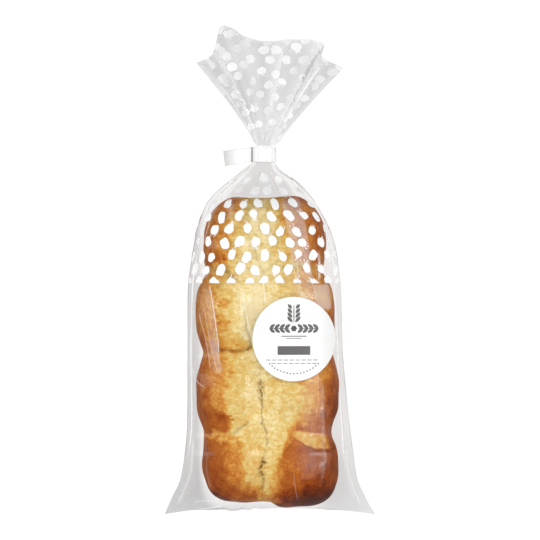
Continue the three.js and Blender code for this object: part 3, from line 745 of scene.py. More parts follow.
clear = node(tree, "BsdfTransparent", {"Color": tint})
gloss = node(tree, "BsdfGlossy", {"Color": (1, 1, 1, 1), "Roughness": 0.11})
scatter = node(tree, "BsdfDiffuse", {"Color": srgb("#E0E0E0")})
through = node(tree, "MixShader", {0: milky_in, 1: clear, 2: scatter})
film_look = node(tree, "MixShader", {0: mirror, 1: through, 2: gloss})
tree.links.new(film_look, surface)


def mend(piece, merge=False, outward=False, upward=False):
    """Merges the points where a mesh's edges meet, and turns its faces outward or up."""
    work = bmesh.new()
    work.from_mesh(piece.data)
    if merge:
        bmesh.ops.remove_doubles(work, verts=work.verts, dist=1e-6)
    if outward:
        bmesh.ops.recalc_face_normals(work, faces=work.faces)
    if upward:
        work.normal_update()
        bmesh.ops.reverse_faces(work, faces=[face for face in work.faces if face.normal.z < 0])
    work.to_mesh(piece.data)
    work.free()


film = ring_mesh("film_bag", film_points, poles=False)
store(film, "slack_and_shade", slack_and_shade)
store(film, "milky", FAN_MILKINESS * in_fan)
mend(film, merge=True)
film.data.materials.append(film_finish)
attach(film, "root")
# The film and the loaf in it together stand for the bag's solid
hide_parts("bag")
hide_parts("bag")

# The gather: the bag's own film, pressed by the band into a solid bundle of folds. It shows in both of the
# band's open ends, whitened where so many layers lie on each other.
GATHER_RINGS = [[0.8, 0.5], [1.1, 0.86], [6, 0.92], [10.9, 0.86], [11.2, 0.5]]
GATHER_POINTS = 260
GATHER_FOLDS = 26
GATHER_FOLD_DEPTH = 0.05

gather_turn = 2 * np.pi * np.arange(GATHER_POINTS)[None, :] / GATHER_POINTS
gather_y, gather_size = np.array(GATHER_RINGS, float).T[:, :, None]
gather_size = gather_size * (1 + GATHER_FOLD_DEPTH * np.cos(GATHER_FOLDS * gather_turn))
gather_points = np.stack([
    NECK_X + NECK_HALF_WIDTH * gather_size * np.cos(gather_turn), NECK_START_Y + gather_y + 0 * gather_size,
    NECK_Z + NECK_HALF_HEIGHT * gather_size * np.sin(gather_turn),
], -1)
# Painted light and shade: lighter on each fold's crest and greyer between the folds
fold_light_and_shade = 0.5 + 0.3 * np.cos(GATHER_FOLDS * gather_turn) + 0.2 * np.cos(41 * gather_turn + 1) + 0 * gather_y

# Gathered polypropylene: painted highlight where a fold turns outwards, painted shade between, softly glossy
gather_finish, tree, surface = new_material("gathered_polypropylene_film")
fold_light_and_shade_in = node(tree, "Attribute", output="Fac", attribute_name="fold_light_and_shade")
gather_tone = node(tree, "ValToRGB", {"Fac": fold_light_and_shade_in}, stops=[[0.1, "#D8D8D8"], [0.9, "#F4F4F4"]])
bundle = node(tree, "BsdfPrincipled", {"Base Color": gather_tone, "Roughness": 0.35, "IOR": 1.49})
tree.links.new(bundle, surface)
gather = ring_mesh("neck_gather", gather_points)
store(gather, "fold_light_and_shade", fold_light_and_shade)
gather.data.materials.append(gather_finish)
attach(gather, "root")

# The print: white brush dabs in staggered rows on the outside of the film, from the mouth down to a
# straight cut over the first row of balls. Each is a small patch that follows the film.
PRINT_END_Y = -10.4
PRINT_NECK_Y = 80.0
DAB_SPACING = 13.4
DAB_ROW_SPACING = 10.3
DAB_HALF_LENGTH = 4.5
DAB_HALF_WIDTH = 3.25
DAB_POINTS = 40
FRAYED_SHARE = 0.42
FLECKS = 4
FLECK_POINTS = 8
DAB_LIFT = 0.24
FLECK_LIFT = 0.14
FAN_ROWS = 9
DAB_RINGS = np.array([0.0, 0.6, 1.0])[:, None]
THINNEST_DAB = 0.15
FAN_DAB_SCALES = (0.88, 1.34)
# Steering a dab's points on the fan: trial steps and longest steps in turn and share, and their limits
STEERING_STEPS = 8
TRIAL_TURN, TRIAL_SHARE = 0.004, 0.002
LONGEST_STEP = 0.05
LEAST_AREA = 400.0
TURN_LIMITS = (0.02, np.pi - 0.02)
SHARE_LIMITS = (0.03, 1.0)
ROW_POINTS = 400
DABS_EACH_WAY = 30
# Share of a height that counts as length along the pack and across the fan's pleats
PLAN_AND_SOME_HEIGHT = np.array([1.0, 1.0, 0.25])

draw = np.random.default_rng(71)


def blunt_oval(count, half_length, half_width, unevenness):
    """Points round a blunt oval, a superellipse of power 1.7 to 3, made uneven by two slow waves and a
    jitter. Returns them along and across, with their angles."""
    angle = 2 * np.pi * np.arange(count) / count
    phase = draw.uniform(0, 2 * np.pi, 2)
    power = draw.uniform(1.7, 3.0)
    reach = 1 + unevenness * (np.cos(3 * angle + phase[0]) + 0.7 * np.cos(5 * angle + phase[1]))
    reach *= (np.abs(np.cos(angle)) ** power + np.abs(np.sin(angle)) ** power) ** (-1 / power)
    reach *= 1 + 0.4 * unevenness * draw.normal(size=count)
    return half_length * reach * np.cos(angle), half_width * reach * np.sin(angle), angle


def brush_dab(length_scale, width_scale):
    """A brush dab as outlines in mm round its middle, each with its own centre: the dab, leaning to one
    side, and where its end is frayed into teeth, the flecks that the bristles left past that end."""
    length = length_scale * draw.uniform(0.84, 1.08) * DAB_HALF_LENGTH
    width = width_scale * draw.uniform(0.84, 1.12) * DAB_HALF_WIDTH
    along, across, angle = blunt_oval(DAB_POINTS, length, width, 0.05)
    lean = draw.choice([-0.5, 0.1, 0.45]) + draw.normal(0, 0.2) + np.pi / 2
    outlines = [[0.0, 0.0, along, across]]
    if draw.uniform() < FRAYED_SHARE:
        end = draw.choice([-1, 1])
        frayed = np.clip(end * np.cos(angle) + 0.15, 0, 1)
        cut = 1 - frayed * np.where(np.arange(DAB_POINTS) % 2, 0.6, 0.0) * draw.uniform(0.3, 1, DAB_POINTS)
        outlines = [[0.0, 0.0, along * cut, across * cut]]
        for _ in range(FLECKS):
            fleck = blunt_oval(FLECK_POINTS, draw.uniform(0.4, 1.0), draw.uniform(0.18, 0.32), 0.1)[:2]
            centre = end * length * draw.uniform(0.9, 1.2), width * draw.uniform(-0.8, 0.8)
            outlines.append([*centre, *fleck])
    c, s = np.cos(lean), np.sin(lean)
    return [[u * c - v * s, u * s + v * c, p * c - q * s, p * s + q * c] for u, v, p, q in outlines]


def loaf_dab(turn, y, scale):
    """The points of a dab and its flecks on the film round the loaf: for each its middle, a ring at six
    tenths and its rim. Offsets in mm become steps round and along the film by its own stretch there."""
    base = body_film(np.array([turn, turn + 0.01, turn]), np.array([y, y, y + 0.1]))[0]
    round_scale = 0.01 / np.linalg.norm(base[1] - base[0])
    along_scale = 0.1 / np.linalg.norm((base[2] - base[0]) * PLAN_AND_SOME_HEIGHT)
    made = []
    for middle_x, middle_y, sideways, forward in brush_dab(scale, scale):
        lift = FLECK_LIFT if made else DAB_LIFT
        turn_at = turn + (middle_x + DAB_RINGS * sideways) * round_scale
        y_at = np.clip(y + (middle_y + DAB_RINGS * forward) * along_scale, PRINT_END_Y, NECK_START_Y - 1)
        place, normal = body_film(turn_at, y_at)
        made.append(place + lift * normal)
    return made


def fan_dab(turn, share, scale):
    """The same on the fan, where a dab has its true outline in plan: damped Newton steps move each of its
    points round and along the fan until it lies at its own place in plan."""
    middle = smooth_fan(np.array(turn), np.array(share))[:2]
    made = []
    for middle_x, middle_y, sideways, forward in brush_dab(*(scale * size for size in FAN_DAB_SCALES)):
        lift = FLECK_LIFT if made else DAB_LIFT
        wanted = middle + np.stack([middle_x + DAB_RINGS * sideways, middle_y + DAB_RINGS * forward], -1)
        turn_at, share_at = np.full(wanted.shape[:2], turn), np.full(wanted.shape[:2], share)
        for _ in range(STEERING_STEPS):
            here = smooth_fan(turn_at, share_at)[..., :2]
            round_it = (smooth_fan(turn_at + TRIAL_TURN, share_at)[..., :2] - here) / TRIAL_TURN
            out_it = (smooth_fan(turn_at, share_at + TRIAL_SHARE)[..., :2] - here) / TRIAL_SHARE
            miss = wanted - here
            area = round_it[..., 0] * out_it[..., 1] - round_it[..., 1] * out_it[..., 0]
            area = np.minimum(area, -LEAST_AREA)
            turn_step = (miss[..., 0] * out_it[..., 1] - miss[..., 1] * out_it[..., 0]) / area
            share_step = (round_it[..., 0] * miss[..., 1] - round_it[..., 1] * miss[..., 0]) / area
            turn_at = np.clip(turn_at + np.clip(turn_step, -LONGEST_STEP, LONGEST_STEP), *TURN_LIMITS)
            share_at = np.clip(share_at + np.clip(share_step, -LONGEST_STEP, LONGEST_STEP), *SHARE_LIMITS)
        place, normal = fan_film(turn_at, share_at)
        made.append(place + lift * normal)
    return made


def dab_row(film_at, counts, along, spacing, shift):
    """Middles of a row's dabs as angles in the upper half of the film, evenly spaced along it from its
    middle, with every other row shifted by half a space."""
    turn = np.linspace(*TURN_LIMITS, ROW_POINTS)
    place = film_at(turn, np.full(ROW_POINTS, along))[0] * counts
    length = np.append(0, np.cumsum(np.linalg.norm(np.diff(place, axis=0), axis=1)))
    wanted = length[ROW_POINTS // 2] + spacing * (np.arange(-DABS_EACH_WAY, DABS_EACH_WAY) + 0.5 * shift)
    wanted = wanted[(wanted > 0) & (wanted < length[-1])]
    return np.interp(wanted + draw.normal(0, 0.08 * spacing, len(wanted)), length, turn)


# Painted shade: dabs in the shoulders and the fan take a greyer tone, varied at random
patches, tones = [], []
for row, y in enumerate(np.arange(PRINT_END_Y + 1.0, PRINT_NECK_Y, DAB_ROW_SPACING)):
    for turn in dab_row(body_film, 1.0, y, DAB_SPACING, row % 2):
        middle_y = y + draw.normal(0, 0.9)
        made = loaf_dab(turn, middle_y, 1 - 0.2 * ease(middle_y, 60, 82))
        patches += made
        tones += [0.08 + ease(middle_y, 50, 66) * draw.uniform(0.05, 0.25)] * len(made)
for row, share in enumerate(0.08 + 0.94 * (np.arange(FAN_ROWS) / (FAN_ROWS - 1)) ** 0.9):
    for turn in dab_row(fan_film, PLAN_AND_SOME_HEIGHT, min(share, 1.0), 9.6 + 5.6 * share, row % 2):
        made = fan_dab(turn, min(share + draw.normal(0, 0.012), 1.0), 0.64 + 0.36 * share)
        patches += made
        tones += [draw.uniform(0.3, 0.72)] * len(made)
drawn = [(patch, tone) for patch, tone in zip(patches, tones)
         if np.isfinite(patch).all() and np.ptp(patch[2, :, 1]) > THINNEST_DAB]

places, faces, start = [], [], 0
for patch, _ in drawn:
    ring = np.arange(patch.shape[1])
    nexts = np.roll(ring, -1)
    rim, outer = start + 1 + ring, start + 1 + len(ring) + ring
    rim_next, outer_next = start + 1 + nexts, start + 1 + len(ring) + nexts
    faces += np.stack([np.full_like(ring, start), rim, rim_next], -1).tolist()
    faces += np.stack([rim, outer, outer_next, rim_next], -1).tolist()
    places.append(np.concatenate([patch[0, :1], patch[1], patch[2]]))
    start += 1 + 2 * len(ring)
dabs = mesh_piece("print_dabs", np.concatenate(places), faces, smooth=False)
store(dabs, "tone", np.concatenate([np.full(1 + 2 * patch.shape[1], tone) for patch, tone in drawn]))
mend(dabs, outward=True)

# Flexo white ink: opaque, with a low satin shine from the film's own surface. It is greyer in the shoulders
# and in the fan, painted shade for their crumpled film, and there each dab's grey varies at random.
ink_finish, tree, surface = new_material("white_flexo_ink")
tone_in = node(tree, "Attribute", output="Fac", attribute_name="tone")
ink_colour = node(tree, "ValToRGB", {"Fac": tone_in}, stops=[[0.0, "#F2F2F2"], [1.0, "#CBCBCB"]])
coat = node(tree, "BsdfPrincipled", {"Base Color": ink_colour, "Roughness": 0.35, "IOR": 1.45})
tree.links.new(coat, surface)
dabs.data.materials.append(ink_finish)
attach(dabs, "root")

# Hard creases, clinging film and painted light: a sharp fold scatters light as a thin white line, and film
# that lies doubled looks milky. Many of the white lines and hazy bands are painted highlights and reflections
# of the lamps, and the dark strips are painted shadows. Each is a narrow strip on the film, densest in its
# middle, even, or crisp at one edge.
CREASE_LIFT = 0.1
CREASE_STEPS = 48
CREASE_COLUMNS = 9
FAN_SPREAD = 49.0
# Over the body as [haze, tone, width, crisp side or 2 for both, (x, y), (x, y), ...]; tone 1 is dark, a
# painted shadow
BODY_CREASES_AND_PAINTED_LIGHT = [
    [0.55, 0, 1.6, 0, (-48.6, -8.8), (-46.2, -20.8), (-43.8, -36.8), (-41, -58.4), (-40, -69.6)],
    [0.1, 0, 8, 1, (-53, -10), (-50.6, -22), (-48.4, -38), (-45, -60), (-43.4, -72)],
    [0.3, 0, 1.1, 0, (-57, -30), (-50.2, -58.7), (-46.8, -81.6)],
    [0.3, 0, 1.0, 0, (-52.6, -26), (-47, -58.7), (-41.2, -83.2)],
    [0.16, 0, 10, 1, (-48.4, -52), (-46, -64), (-41.4, -84)],
    [0.4, 0, 1.2, 0, (21.2, 8), (22.4, -4), (24.1, -20.1)],
    [0.35, 0, 2.0, 0, (-5.2, -9), (-4.6, -16), (-3.4, -28)],
    [0.3, 0, 1.3, 0, (-24, -9), (-20.4, -27.2), (-15.9, -46.4), (-13.2, -58)],
    [0.35, 0, 0.9, 0, (31.8, 8), (31.8, -6), (33, -11), (35, -13.4), (38, -10), (39.4, 2), (38.8, 14)],
    [0.3, 0, 3.2, -1, (38.2, 16), (39.6, 4), (39.8, -9)],
    [0.27, 0.05, 13.5, 2, (40, -10), (41.2, -20), (42.8, -33)],
    [0.2, 0.05, 16.5, 2, (14.2, 60), (19.2, 41.6), (22.8, 23.2), (24, 10), (24.4, -3)],
    [0.16, 0.05, 26, 1, (20, 0), (22, -12), (24, -26)],
    [0.14, 0.05, 10, 0, (-34, 58), (-31, 50), (-32, 40)],
    [0.95, 0, 2.6, 0, (-57, -189), (-48, -187.6), (-42.5, -186.6), (-38.6, -186.2), (-35.6, -188)],
    [0.6, 0.8, 2.2, 0, (-55, -190.2), (-47, -189.4), (-41, -188.5), (-37.5, -188.4), (-34.6, -189.8)],
    [0.35, 0.6, 2.6, 0, (-37, -187), (-32, -189), (-25, -189.2), (-19, -188.4)],
    [0.3, 0, 4.0, 0, (-62, -184), (-54, -181.6), (-44, -182.2), (-34, -185)],
    [0.35, 0.5, 1.6, 0, (36, -189.2), (46, -188.8), (56, -189.4)],
    [0.7, 0, 1.5, 0, (44, 36), (48.2, 22), (50.2, 6), (51.4, -12), (53.4, -58), (55.8, -100), (57.6, -140),
     (61, -166)],
    [0.4, 0, 1.0, 0, (40.6, 39), (45.6, 24), (47.6, 8), (48.6, -6)],
    [0.45, 0.55, 0.8, 0, (54.4, -66), (56.6, -100), (58.8, -134)],
    [0.7, 0, 1.5, 0, (-43, 56), (-50, 44), (-54.6, 28), (-58.4, 12), (-61.6, -12), (-62.6, -60),
     (-62.4, -120), (-66, -160)],
    [0.4, 0, 1.1, 0, (-38, 57), (-46, 43), (-51, 27), (-54.6, 12), (-58, -6), (-58.6, -30)],
    [0.4, 0.5, 0.8, 0, (-60.6, -20), (-60.8, -70), (-60.4, -120)],
    [0.35, 0, 1.2, 0, (-64, -74), (-60, -84), (-55, -91), (-50, -94)],
    [0.3, 0, 5.0, 0, (-75, -186), (-68, -172), (-62.4, -156), (-60, -132)],
    [0.35, 0.4, 1.0, 0, (-72, -186), (-63, -172), (-58, -160)],
    [0.3, 0, 5.0, 0, (74, -186), (67, -173), (62, -158), (60.4, -138)],
    [0.35, 0.4, 1.0, 0, (70, -186), (62, -174), (58.4, -164)],
    [0.16, 0, 6, 1, (-14, 81), (-24, 74), (-36, 63), (-46, 49)],
    [0.16, 0, 6, -1, (4, 81), (12, 76), (22, 68), (32, 58)],
    [0.3, 0.6, 0.9, 0, (-8, 80), (-9.6, 72), (-10.4, 60)],
    [0.3, 0.6, 0.9, 0, (-2, 80), (3.4, 70), (10, 60)],
    [0.2, 0.2, 8, 1, (-5, 78), (-4, 70), (-1, 61)],
    [0.09, 0, 4.4, 1, (40, -84), (41, -120), (41.6, -150), (40, -170)],
    [0.07, 0.05, 36, 0, (31, -84), (31, -110), (31, -140), (31, -164)],
    [0.16, 0, 0.9, 0, (18.6, -160), (20, -172), (22, -184)],
    [0.08, 0, 1.6, 0, (-51, -130), (-50, -160), (-46, -176)],
]
# Over the fan as [haze, tone, width, crisp side, (across, share), ...]; tone 1 is dark, a painted shadow
FAN_CREASES_AND_PAINTED_LIGHT = [
    [0.5, 0, 2.6, 0, (-0.77, 0.98), (-0.76, 0.7), (-0.74, 0.4), (-0.7, 0.1)],
    [0.35, 0, 1.2, 0, (-0.71, 0.8), (-0.71, 0.55), (-0.69, 0.3)],
    [0.45, 0, 1.6, 0, (0.62, 0.96), (0.6, 0.7), (0.58, 0.45), (0.56, 0.2)],
    [0.65, 0, 2.2, 0, (0.87, 0.97), (0.85, 0.7), (0.84, 0.4), (0.8, 0.1)],
    [0.3, 0, 6, 1, (0.14, 0.97), (0.12, 0.6), (0.08, 0.3)],
    [0.25, 0, 1.3, 0, (0.1, 0.6), (0.08, 0.4), (0.04, 0.1)],
    [0.2, 0, 1.1, 0, (-0.08, 0.5), (-0.06, 0.3), (-0.04, 0.1)],
    [0.4, 0, 1.8, 0, (-0.93, 0.9), (-0.93, 0.5), (-0.92, 0.1)],
    [0.55, 0.9, 0.9, 0, (-0.97, 0.62), (-0.968, 0.5), (-0.966, 0.42)],
]


def sheet_mesh(name, grids):
    """Makes one mesh object from several open grids of points in mm."""
    places, faces, start = [], [], 0
    for grid in grids:
        index = start + np.arange(grid.shape[0] * grid.shape[1]).reshape(grid.shape[:2])
        quads = np.stack([index[:-1, :-1], index[:-1, 1:], index[1:, 1:], index[1:, :-1]], -1)
        faces += quads.reshape(-1, 4).tolist()
        places.append(grid.reshape(-1, 3))
        start += index.size
    return mesh_piece(name, np.concatenate(places), faces)


def upper_section(x, y, limit):
    """A place on the section of the film's upper face: its share of the way out across the pack, up to a
    limit, and its share of the crown's height, which follows from that by the superellipse."""
    across = np.clip((2 * x - left_edge(y) - right_edge(y)) / (right_edge(y) - left_edge(y)), -limit, limit)
    return across, (1 - np.abs(across) ** upper_fullness(y)) ** (1 / upper_fullness(y))


def body_turn(x, y):
    """The angle round the section of the film's upper face at a place across the pack."""
    across, level = upper_section(x, y, 0.998)
    return np.arctan2(level, across)


def crease_and_painted_light_strip(haze, tone, width, crisp, path, in_fan):
    """A strip along a smooth line through its corners. It narrows to its ends, and its haze is a bell
    across it, or rises evenly to one side and stops there, or is even between two crisp sides."""
    corners = np.array(path, float)
    legs = np.diff(corners, axis=0) * (1, 100 if in_fan else 1)
    chord = np.append(0, np.cumsum(np.hypot(*legs.T)))
    t = np.linspace(0, 1, CREASE_STEPS)[:, None]
    u, v = (smooth_line(np.stack([chord, corners[:, k]], 1))(t * chord[-1]) for k in (0, 1))
    side = np.linspace(-1, 1, CREASE_COLUMNS)[None, :]
    offset = width / 2 * ease(t, -0.1, 0.12) * ease(1 - t, -0.1, 0.12) * side
    if in_fan:
        u = np.clip(u + offset / (NECK_HALF_WIDTH + FAN_SPREAD * v ** FAN_FLARE), -0.997, 0.997)
        v = v + 0 * side
        place, normal = fan_film(np.arccos(u), v)
    else:
        du, dv = np.gradient(u, axis=0), np.gradient(v, axis=0)
        turned = np.where(dv > 0, -1, 1) / np.hypot(du, dv)
        u, v = u - dv * turned * offset, np.maximum(v + du * turned * offset, SEAL_Y + 0.1)
        place, normal = body_film(body_turn(u, v), v)
    if crisp == 2:
        across = ease(1 - np.abs(side), 0, 0.25)
    else:
        across = hill(side, 0.5) if crisp == 0 else ease(crisp * side, -1, 0.7)
    return place + CREASE_LIFT * normal, haze * across * ease(t, 0, 0.14) * ease(1 - t, 0, 0.14), tone + 0 * u


strips = [crease_and_painted_light_strip(*crease[:4], crease[4:], False) for crease in BODY_CREASES_AND_PAINTED_LIGHT]
strips += [crease_and_painted_light_strip(*crease[:4], crease[4:], True) for crease in FAN_CREASES_AND_PAINTED_LIGHT]
creases = sheet_mesh("film_creases_and_painted_light", [points for points, _, _ in strips])
store(creases, "haze", np.concatenate([haze.reshape(-1) for _, haze, _ in strips]))
store(creases, "tone", np.concatenate([tone.reshape(-1) for _, _, tone in strips]))
mend(creases, upward=True)

# Creased polypropylene and painted light: the same clear film, whitened where it is sharply folded or
# doubled, whitened as painted highlights and reflections, and greyed as painted shadows where its tone is
# dark
crease_and_painted_light_finish, tree, surface = new_material("creased_film_and_painted_light")
haze_in, tone_in = (node(tree, "Attribute", output="Fac", attribute_name=name) for name in ("haze", "tone"))
crease_and_painted_shadow_tone = node(tree, "ValToRGB", {"Fac": tone_in}, stops=[[0.0, "#FAFAFA"], [1.0, "#8E8E8E"]])
scatter = node(tree, "BsdfDiffuse", {"Color": crease_and_painted_shadow_tone})
clear = node(tree, "BsdfTransparent", {"Color": (1, 1, 1, 1)})
whitened = node(tree, "MixShader", {0: haze_in, 1: clear, 2: scatter})
tree.links.new(whitened, surface)
creases.data.materials.append(crease_and_painted_light_finish)
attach(creases, "root")

# The band: a coated white tape, 12 mm wide, drawn tight round the gathered neck so that it takes on the
# folds under it. Its two ends are pressed together into a flat tab that stands out to the left.
BAND_INNER = (8.6, 6.6)
BAND_WALL = 1.0
BAND_FLUTES = 13
BAND_FLUTE_DEPTH = 0.22
BAND_RINGS = 17
BAND_POINTS = 220
PINCH_X = NECK_X - BAND_INNER[0] - BAND_WALL
TAB_POINTS = 40
TAB_END_X = -36.8
TAB_FLAT_X = -26.0
TAB_THICKNESS = 1.2
TAB_SKEW = 0.13
TAB_SAG = 2.5
TAB_CURL = 3.2
TAB_CURL_SHARES = (0.45, 1.15)
PINCH_HALF_ANGLE = 0.085
SLIT_SHADOW_HALF_WIDTH = 0.4
SLIT_SHADOW_FADE = 0.05

across_tape = np.linspace(-1, 1, BAND_RINGS)[:, None]
band_middle_y, band_half_width = (NECK_START_Y + NECK_END_Y) / 2, (NECK_END_Y - NECK_START_Y) / 2


def tape_loop(wall):
    """The tape's section seen along the neck: an ellipse with shallow flutes, open at the pinch."""
    angle = np.linspace(-np.pi + PINCH_HALF_ANGLE, np.pi - PINCH_HALF_ANGLE, BAND_POINTS)
    flutes = np.cos(BAND_FLUTES * angle) + 0.5 * np.cos(21 * angle + 1)
    flutes *= BAND_FLUTE_DEPTH * ease(wall, 0, 1)
    x = NECK_X + (BAND_INNER[0] + wall + flutes) * np.cos(angle)
    return x, NECK_Z + (BAND_INNER[1] + wall + flutes) * np.sin(angle)


def tape_tab(side):
    """One face of the tab, from the pinch to its end. It is skewed along the pack, sags as the square of
    the distance, and its last third curls down."""
    x = np.linspace(PINCH_X + 0.1, TAB_END_X, TAB_POINTS)
    along = (x[0] - x) / (x[0] - x[-1])
    drop = TAB_SAG * along ** 2 + TAB_CURL * ease(along, *TAB_CURL_SHARES)
    return x, NECK_Z + side * TAB_THICKNESS / 2 - drop


loop_x, loop_z = tape_loop(BAND_WALL)
inner_x, inner_z = tape_loop(0.0)
upper_x, upper_z = tape_tab(1)
lower_x, lower_z = tape_tab(-1)
section_x = np.concatenate([lower_x[::-1], loop_x, upper_x])
section_z = np.concatenate([lower_z[::-1], loop_z, upper_z])
from_pinch = np.maximum(PINCH_X - section_x, 0)
along_neck = across_tape * band_half_width
tape_y = band_middle_y + along_neck - TAB_SKEW * from_pinch
skewed_x = section_x - TAB_SKEW * along_neck * from_pinch / (upper_x[0] - upper_x[-1])
outer_skin = np.stack(np.broadcast_arrays(skewed_x, tape_y, section_z), -1)
inner_skin = np.stack(np.broadcast_arrays(inner_x, band_middle_y + along_neck, inner_z), -1)


def tape_edge(row):
    """The cut edge of the tape's loop on one side, between its outer and inner skins."""
    return np.stack([outer_skin[row, len(lower_x):-len(upper_x)], inner_skin[row]])


def tab_edge(row):
    """The cut edge of the tab on one side, between its two faces."""
    return np.stack([outer_skin[row, :len(lower_x)][::-1], outer_skin[row, -len(upper_x):]])


tab_end = np.stack([outer_skin[:, -1], outer_skin[:, 0]])
band = sheet_mesh("neck_band", [
    outer_skin, inner_skin[::-1], tape_edge(0)[::-1], tape_edge(-1), tab_edge(0)[::-1], tab_edge(-1),
    tab_end[::-1],
])
mend(band, merge=True, outward=True)

# Coated tape: smooth white film stock with a soft gloss, with painted shade greying the tab's end, and a
# near-black line at the pinch that is a painted shadow of the slit there
tape_finish, tree, surface = new_material("white_coated_tape")
coords = node(tree, "TexCoord", output="Object")
grain = node(tree, "TexNoise", {"Vector": coords, "Scale": 700.0, "Detail": 2.0}, output="Fac")
tape_tone_and_shade = node(tree, "ValToRGB", {"Fac": grain}, stops=[[0.35, "#E8E8E8"], [0.65, "#EDEDED"]])
place_x = node(tree, "SeparateXYZ", {0: coords}, output="X")
# Painted shade: towards the tab's end the tape greys, as if the end turned from the light
painted_end_shade = node(tree, "MapRange", {"Value": place_x, 1: TAB_END_X * MM, 2: TAB_FLAT_X * MM, 3: 1.0, 4: 0.0})
tape_tone_and_shade = node(tree, "Mix", {0: painted_end_shade, 6: tape_tone_and_shade, 7: srgb("#C2C2C2")}, output=2, data_type="RGBA")
# Painted shadow: a narrow near-black line along the pinch, where the tab leaves the loop
apart = node(tree, "Math", {0: place_x, 1: PINCH_X * MM}, operation="SUBTRACT")
apart = node(tree, "Math", {0: apart}, operation="ABSOLUTE")
painted_slit_shadow = node(tree, "MapRange", {
    "Value": apart, 1: SLIT_SHADOW_HALF_WIDTH * MM, 2: (SLIT_SHADOW_HALF_WIDTH + SLIT_SHADOW_FADE) * MM,
    3: 1.0, 4: 0.0,
})
tape_tone_and_shade = node(tree, "Mix", {0: painted_slit_shadow, 6: tape_tone_and_shade, 7: srgb("#161616")}, output=2, data_type="RGBA")
tape = node(tree, "BsdfPrincipled", {"Base Color": tape_tone_and_shade, "Roughness": 0.3, "IOR": 1.5})
tree.links.new(tape, surface)
band.data.materials.append(tape_finish)
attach(band, "root")
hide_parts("band")

# The label: a round of white coated paper stuck on the film over the right-hand column, printed in grey
# with a sprig, a row of grains, a bar and rules.
LABEL_LIFT = 0.85
LABEL_RINGS = 40
LABEL_POINTS = 160
LABEL_EDGE = 0.35
LABEL_ROUNDING = 0.12


def crown_height(x, y):
    """Height of the smooth film's upper face: the superellipse at a place across, less the dips."""
    level = upper_section(x, y, 0.999)[1]
    rise = level * (crown_line(y) - widest_line(y))
    return widest_line(y) + rise - loaf_dip(x, y) * ease(level, *DIP_LEVELS)


def on_label(x, y, lift):
    """A place on the film's upper face, lifted along its normal."""
    slope_x = (crown_height(x + 1, y) - crown_height(x - 1, y)) / 2
    slope_y = (crown_height(x, y + 1) - crown_height(x, y - 1)) / 2
    lift = lift / np.sqrt(slope_x ** 2 + slope_y ** 2 + 1)
    return np.stack([x - slope_x * lift, y - slope_y * lift, crown_height(x, y) + lift], -1)


share = np.concatenate([np.linspace(0.01, 0.995, LABEL_RINGS), [1.0, 0.995, 0.5, 0.01]])
lift = LABEL_LIFT - np.array(LABEL_RINGS * [0.0] + [LABEL_ROUNDING] + 3 * [LABEL_EDGE])[:, None]
share, around = np.meshgrid(share, 2 * np.pi * np.arange(LABEL_POINTS) / LABEL_POINTS, indexing="ij")
label_points = on_label(LABEL_X + LABEL_HALF_WIDTH * share * np.cos(around),
                        LABEL_Y + LABEL_HALF_HEIGHT * share * np.sin(around), lift)

# Coated paper: smooth and nearly white, with a matt sheen and the faintest unevenness of its pulp
paper_finish, tree, surface = new_material("white_coated_label_paper")
coords = node(tree, "TexCoord", output="Object")
pulp = node(tree, "TexNoise", {"Vector": coords, "Scale": 900.0, "Detail": 3.0}, output="Fac")
paper_tone = node(tree, "ValToRGB", {"Fac": pulp}, stops=[[0.35, "#E4E4E3"], [0.65, "#EAEAE9"]])
pulp_bump = node(tree, "Bump", {"Strength": 0.15, "Distance": 0.0002, "Height": pulp})
paper = node(tree, "BsdfPrincipled", {
    "Base Color": paper_tone, "Roughness": 0.5, "IOR": 1.45, "Normal": pulp_bump,
})
tree.links.new(paper, surface)
label = ring_mesh("round_label", label_points)
label.data.materials.append(paper_finish)
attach(label, "root")
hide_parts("label")

# Marks on the label as [x, y, length, width, turn in degrees, outline], from the label's middle
MARK_STEPS = 28
MARK_COLUMNS = 5
INK_LIFT = 0.06
BAR, LENS, GRAIN = 0.0, 1.0, 0.5
marks = [[0, -9.0, 25.6, 7.0, 0, BAR]]
marks += [[x, 8.4 + side * 1.7, 5.6, 2.5, 90 + np.sign(x) * side * 52, LENS]
          for x in (-17, -13, -9, -5, 5, 9, 13, 17) for side in (-1, 1)]
marks += [[0, 8.4, 5.2, 3.6, angle, LENS] for angle in (0, 60, 120)]
marks += [[side * 11.4, 8.4, 15.0, 0.6, 0, BAR] for side in (-1, 1)]
marks += [[0, 2.3, 20.0, 0.7, 0, BAR], [0, 0.6, 12.0, 0.5, 0, BAR]]
marks += [[x, y, 3.4, 0.55, 0, BAR]
          for y, reach in ((-16.6, 20), (-19.4, 16)) for x in np.arange(-reach, reach + 1, 4.6)]
marks += [[0, 20.0, 15.0, 0.8, 90, GRAIN]]
marks += [[side * 3.1, 15.6 + 3.4 * k, 6.2 - 0.5 * k, 2.6, 90 - side * 42, LENS]
          for k in range(4) for side in (-1, 1)]
marks += [[27.4 * np.sin(a), -27.4 * np.cos(a), 1.2, 1.2, np.degrees(a), GRAIN]
          for a in np.radians(np.arange(-44, 45, 5.5))]


def mark_grid(x, y, length, width, degrees, outline):
    """A printed mark as a narrow strip: straight-sided for a bar, and swelling as a power of a
    circle's height for a grain or a lens."""
    t = np.linspace(-1, 1, MARK_STEPS)[:, None]
    half = 0.5 * width * np.maximum(1 - t * t, 0) ** outline
    s = np.linspace(-1, 1, MARK_COLUMNS)[None, :]
    u, v = t * length / 2 + 0 * s, half * s
    angle = np.radians(degrees)
    return x + u * np.cos(angle) - v * np.sin(angle), y + u * np.sin(angle) + v * np.cos(angle)


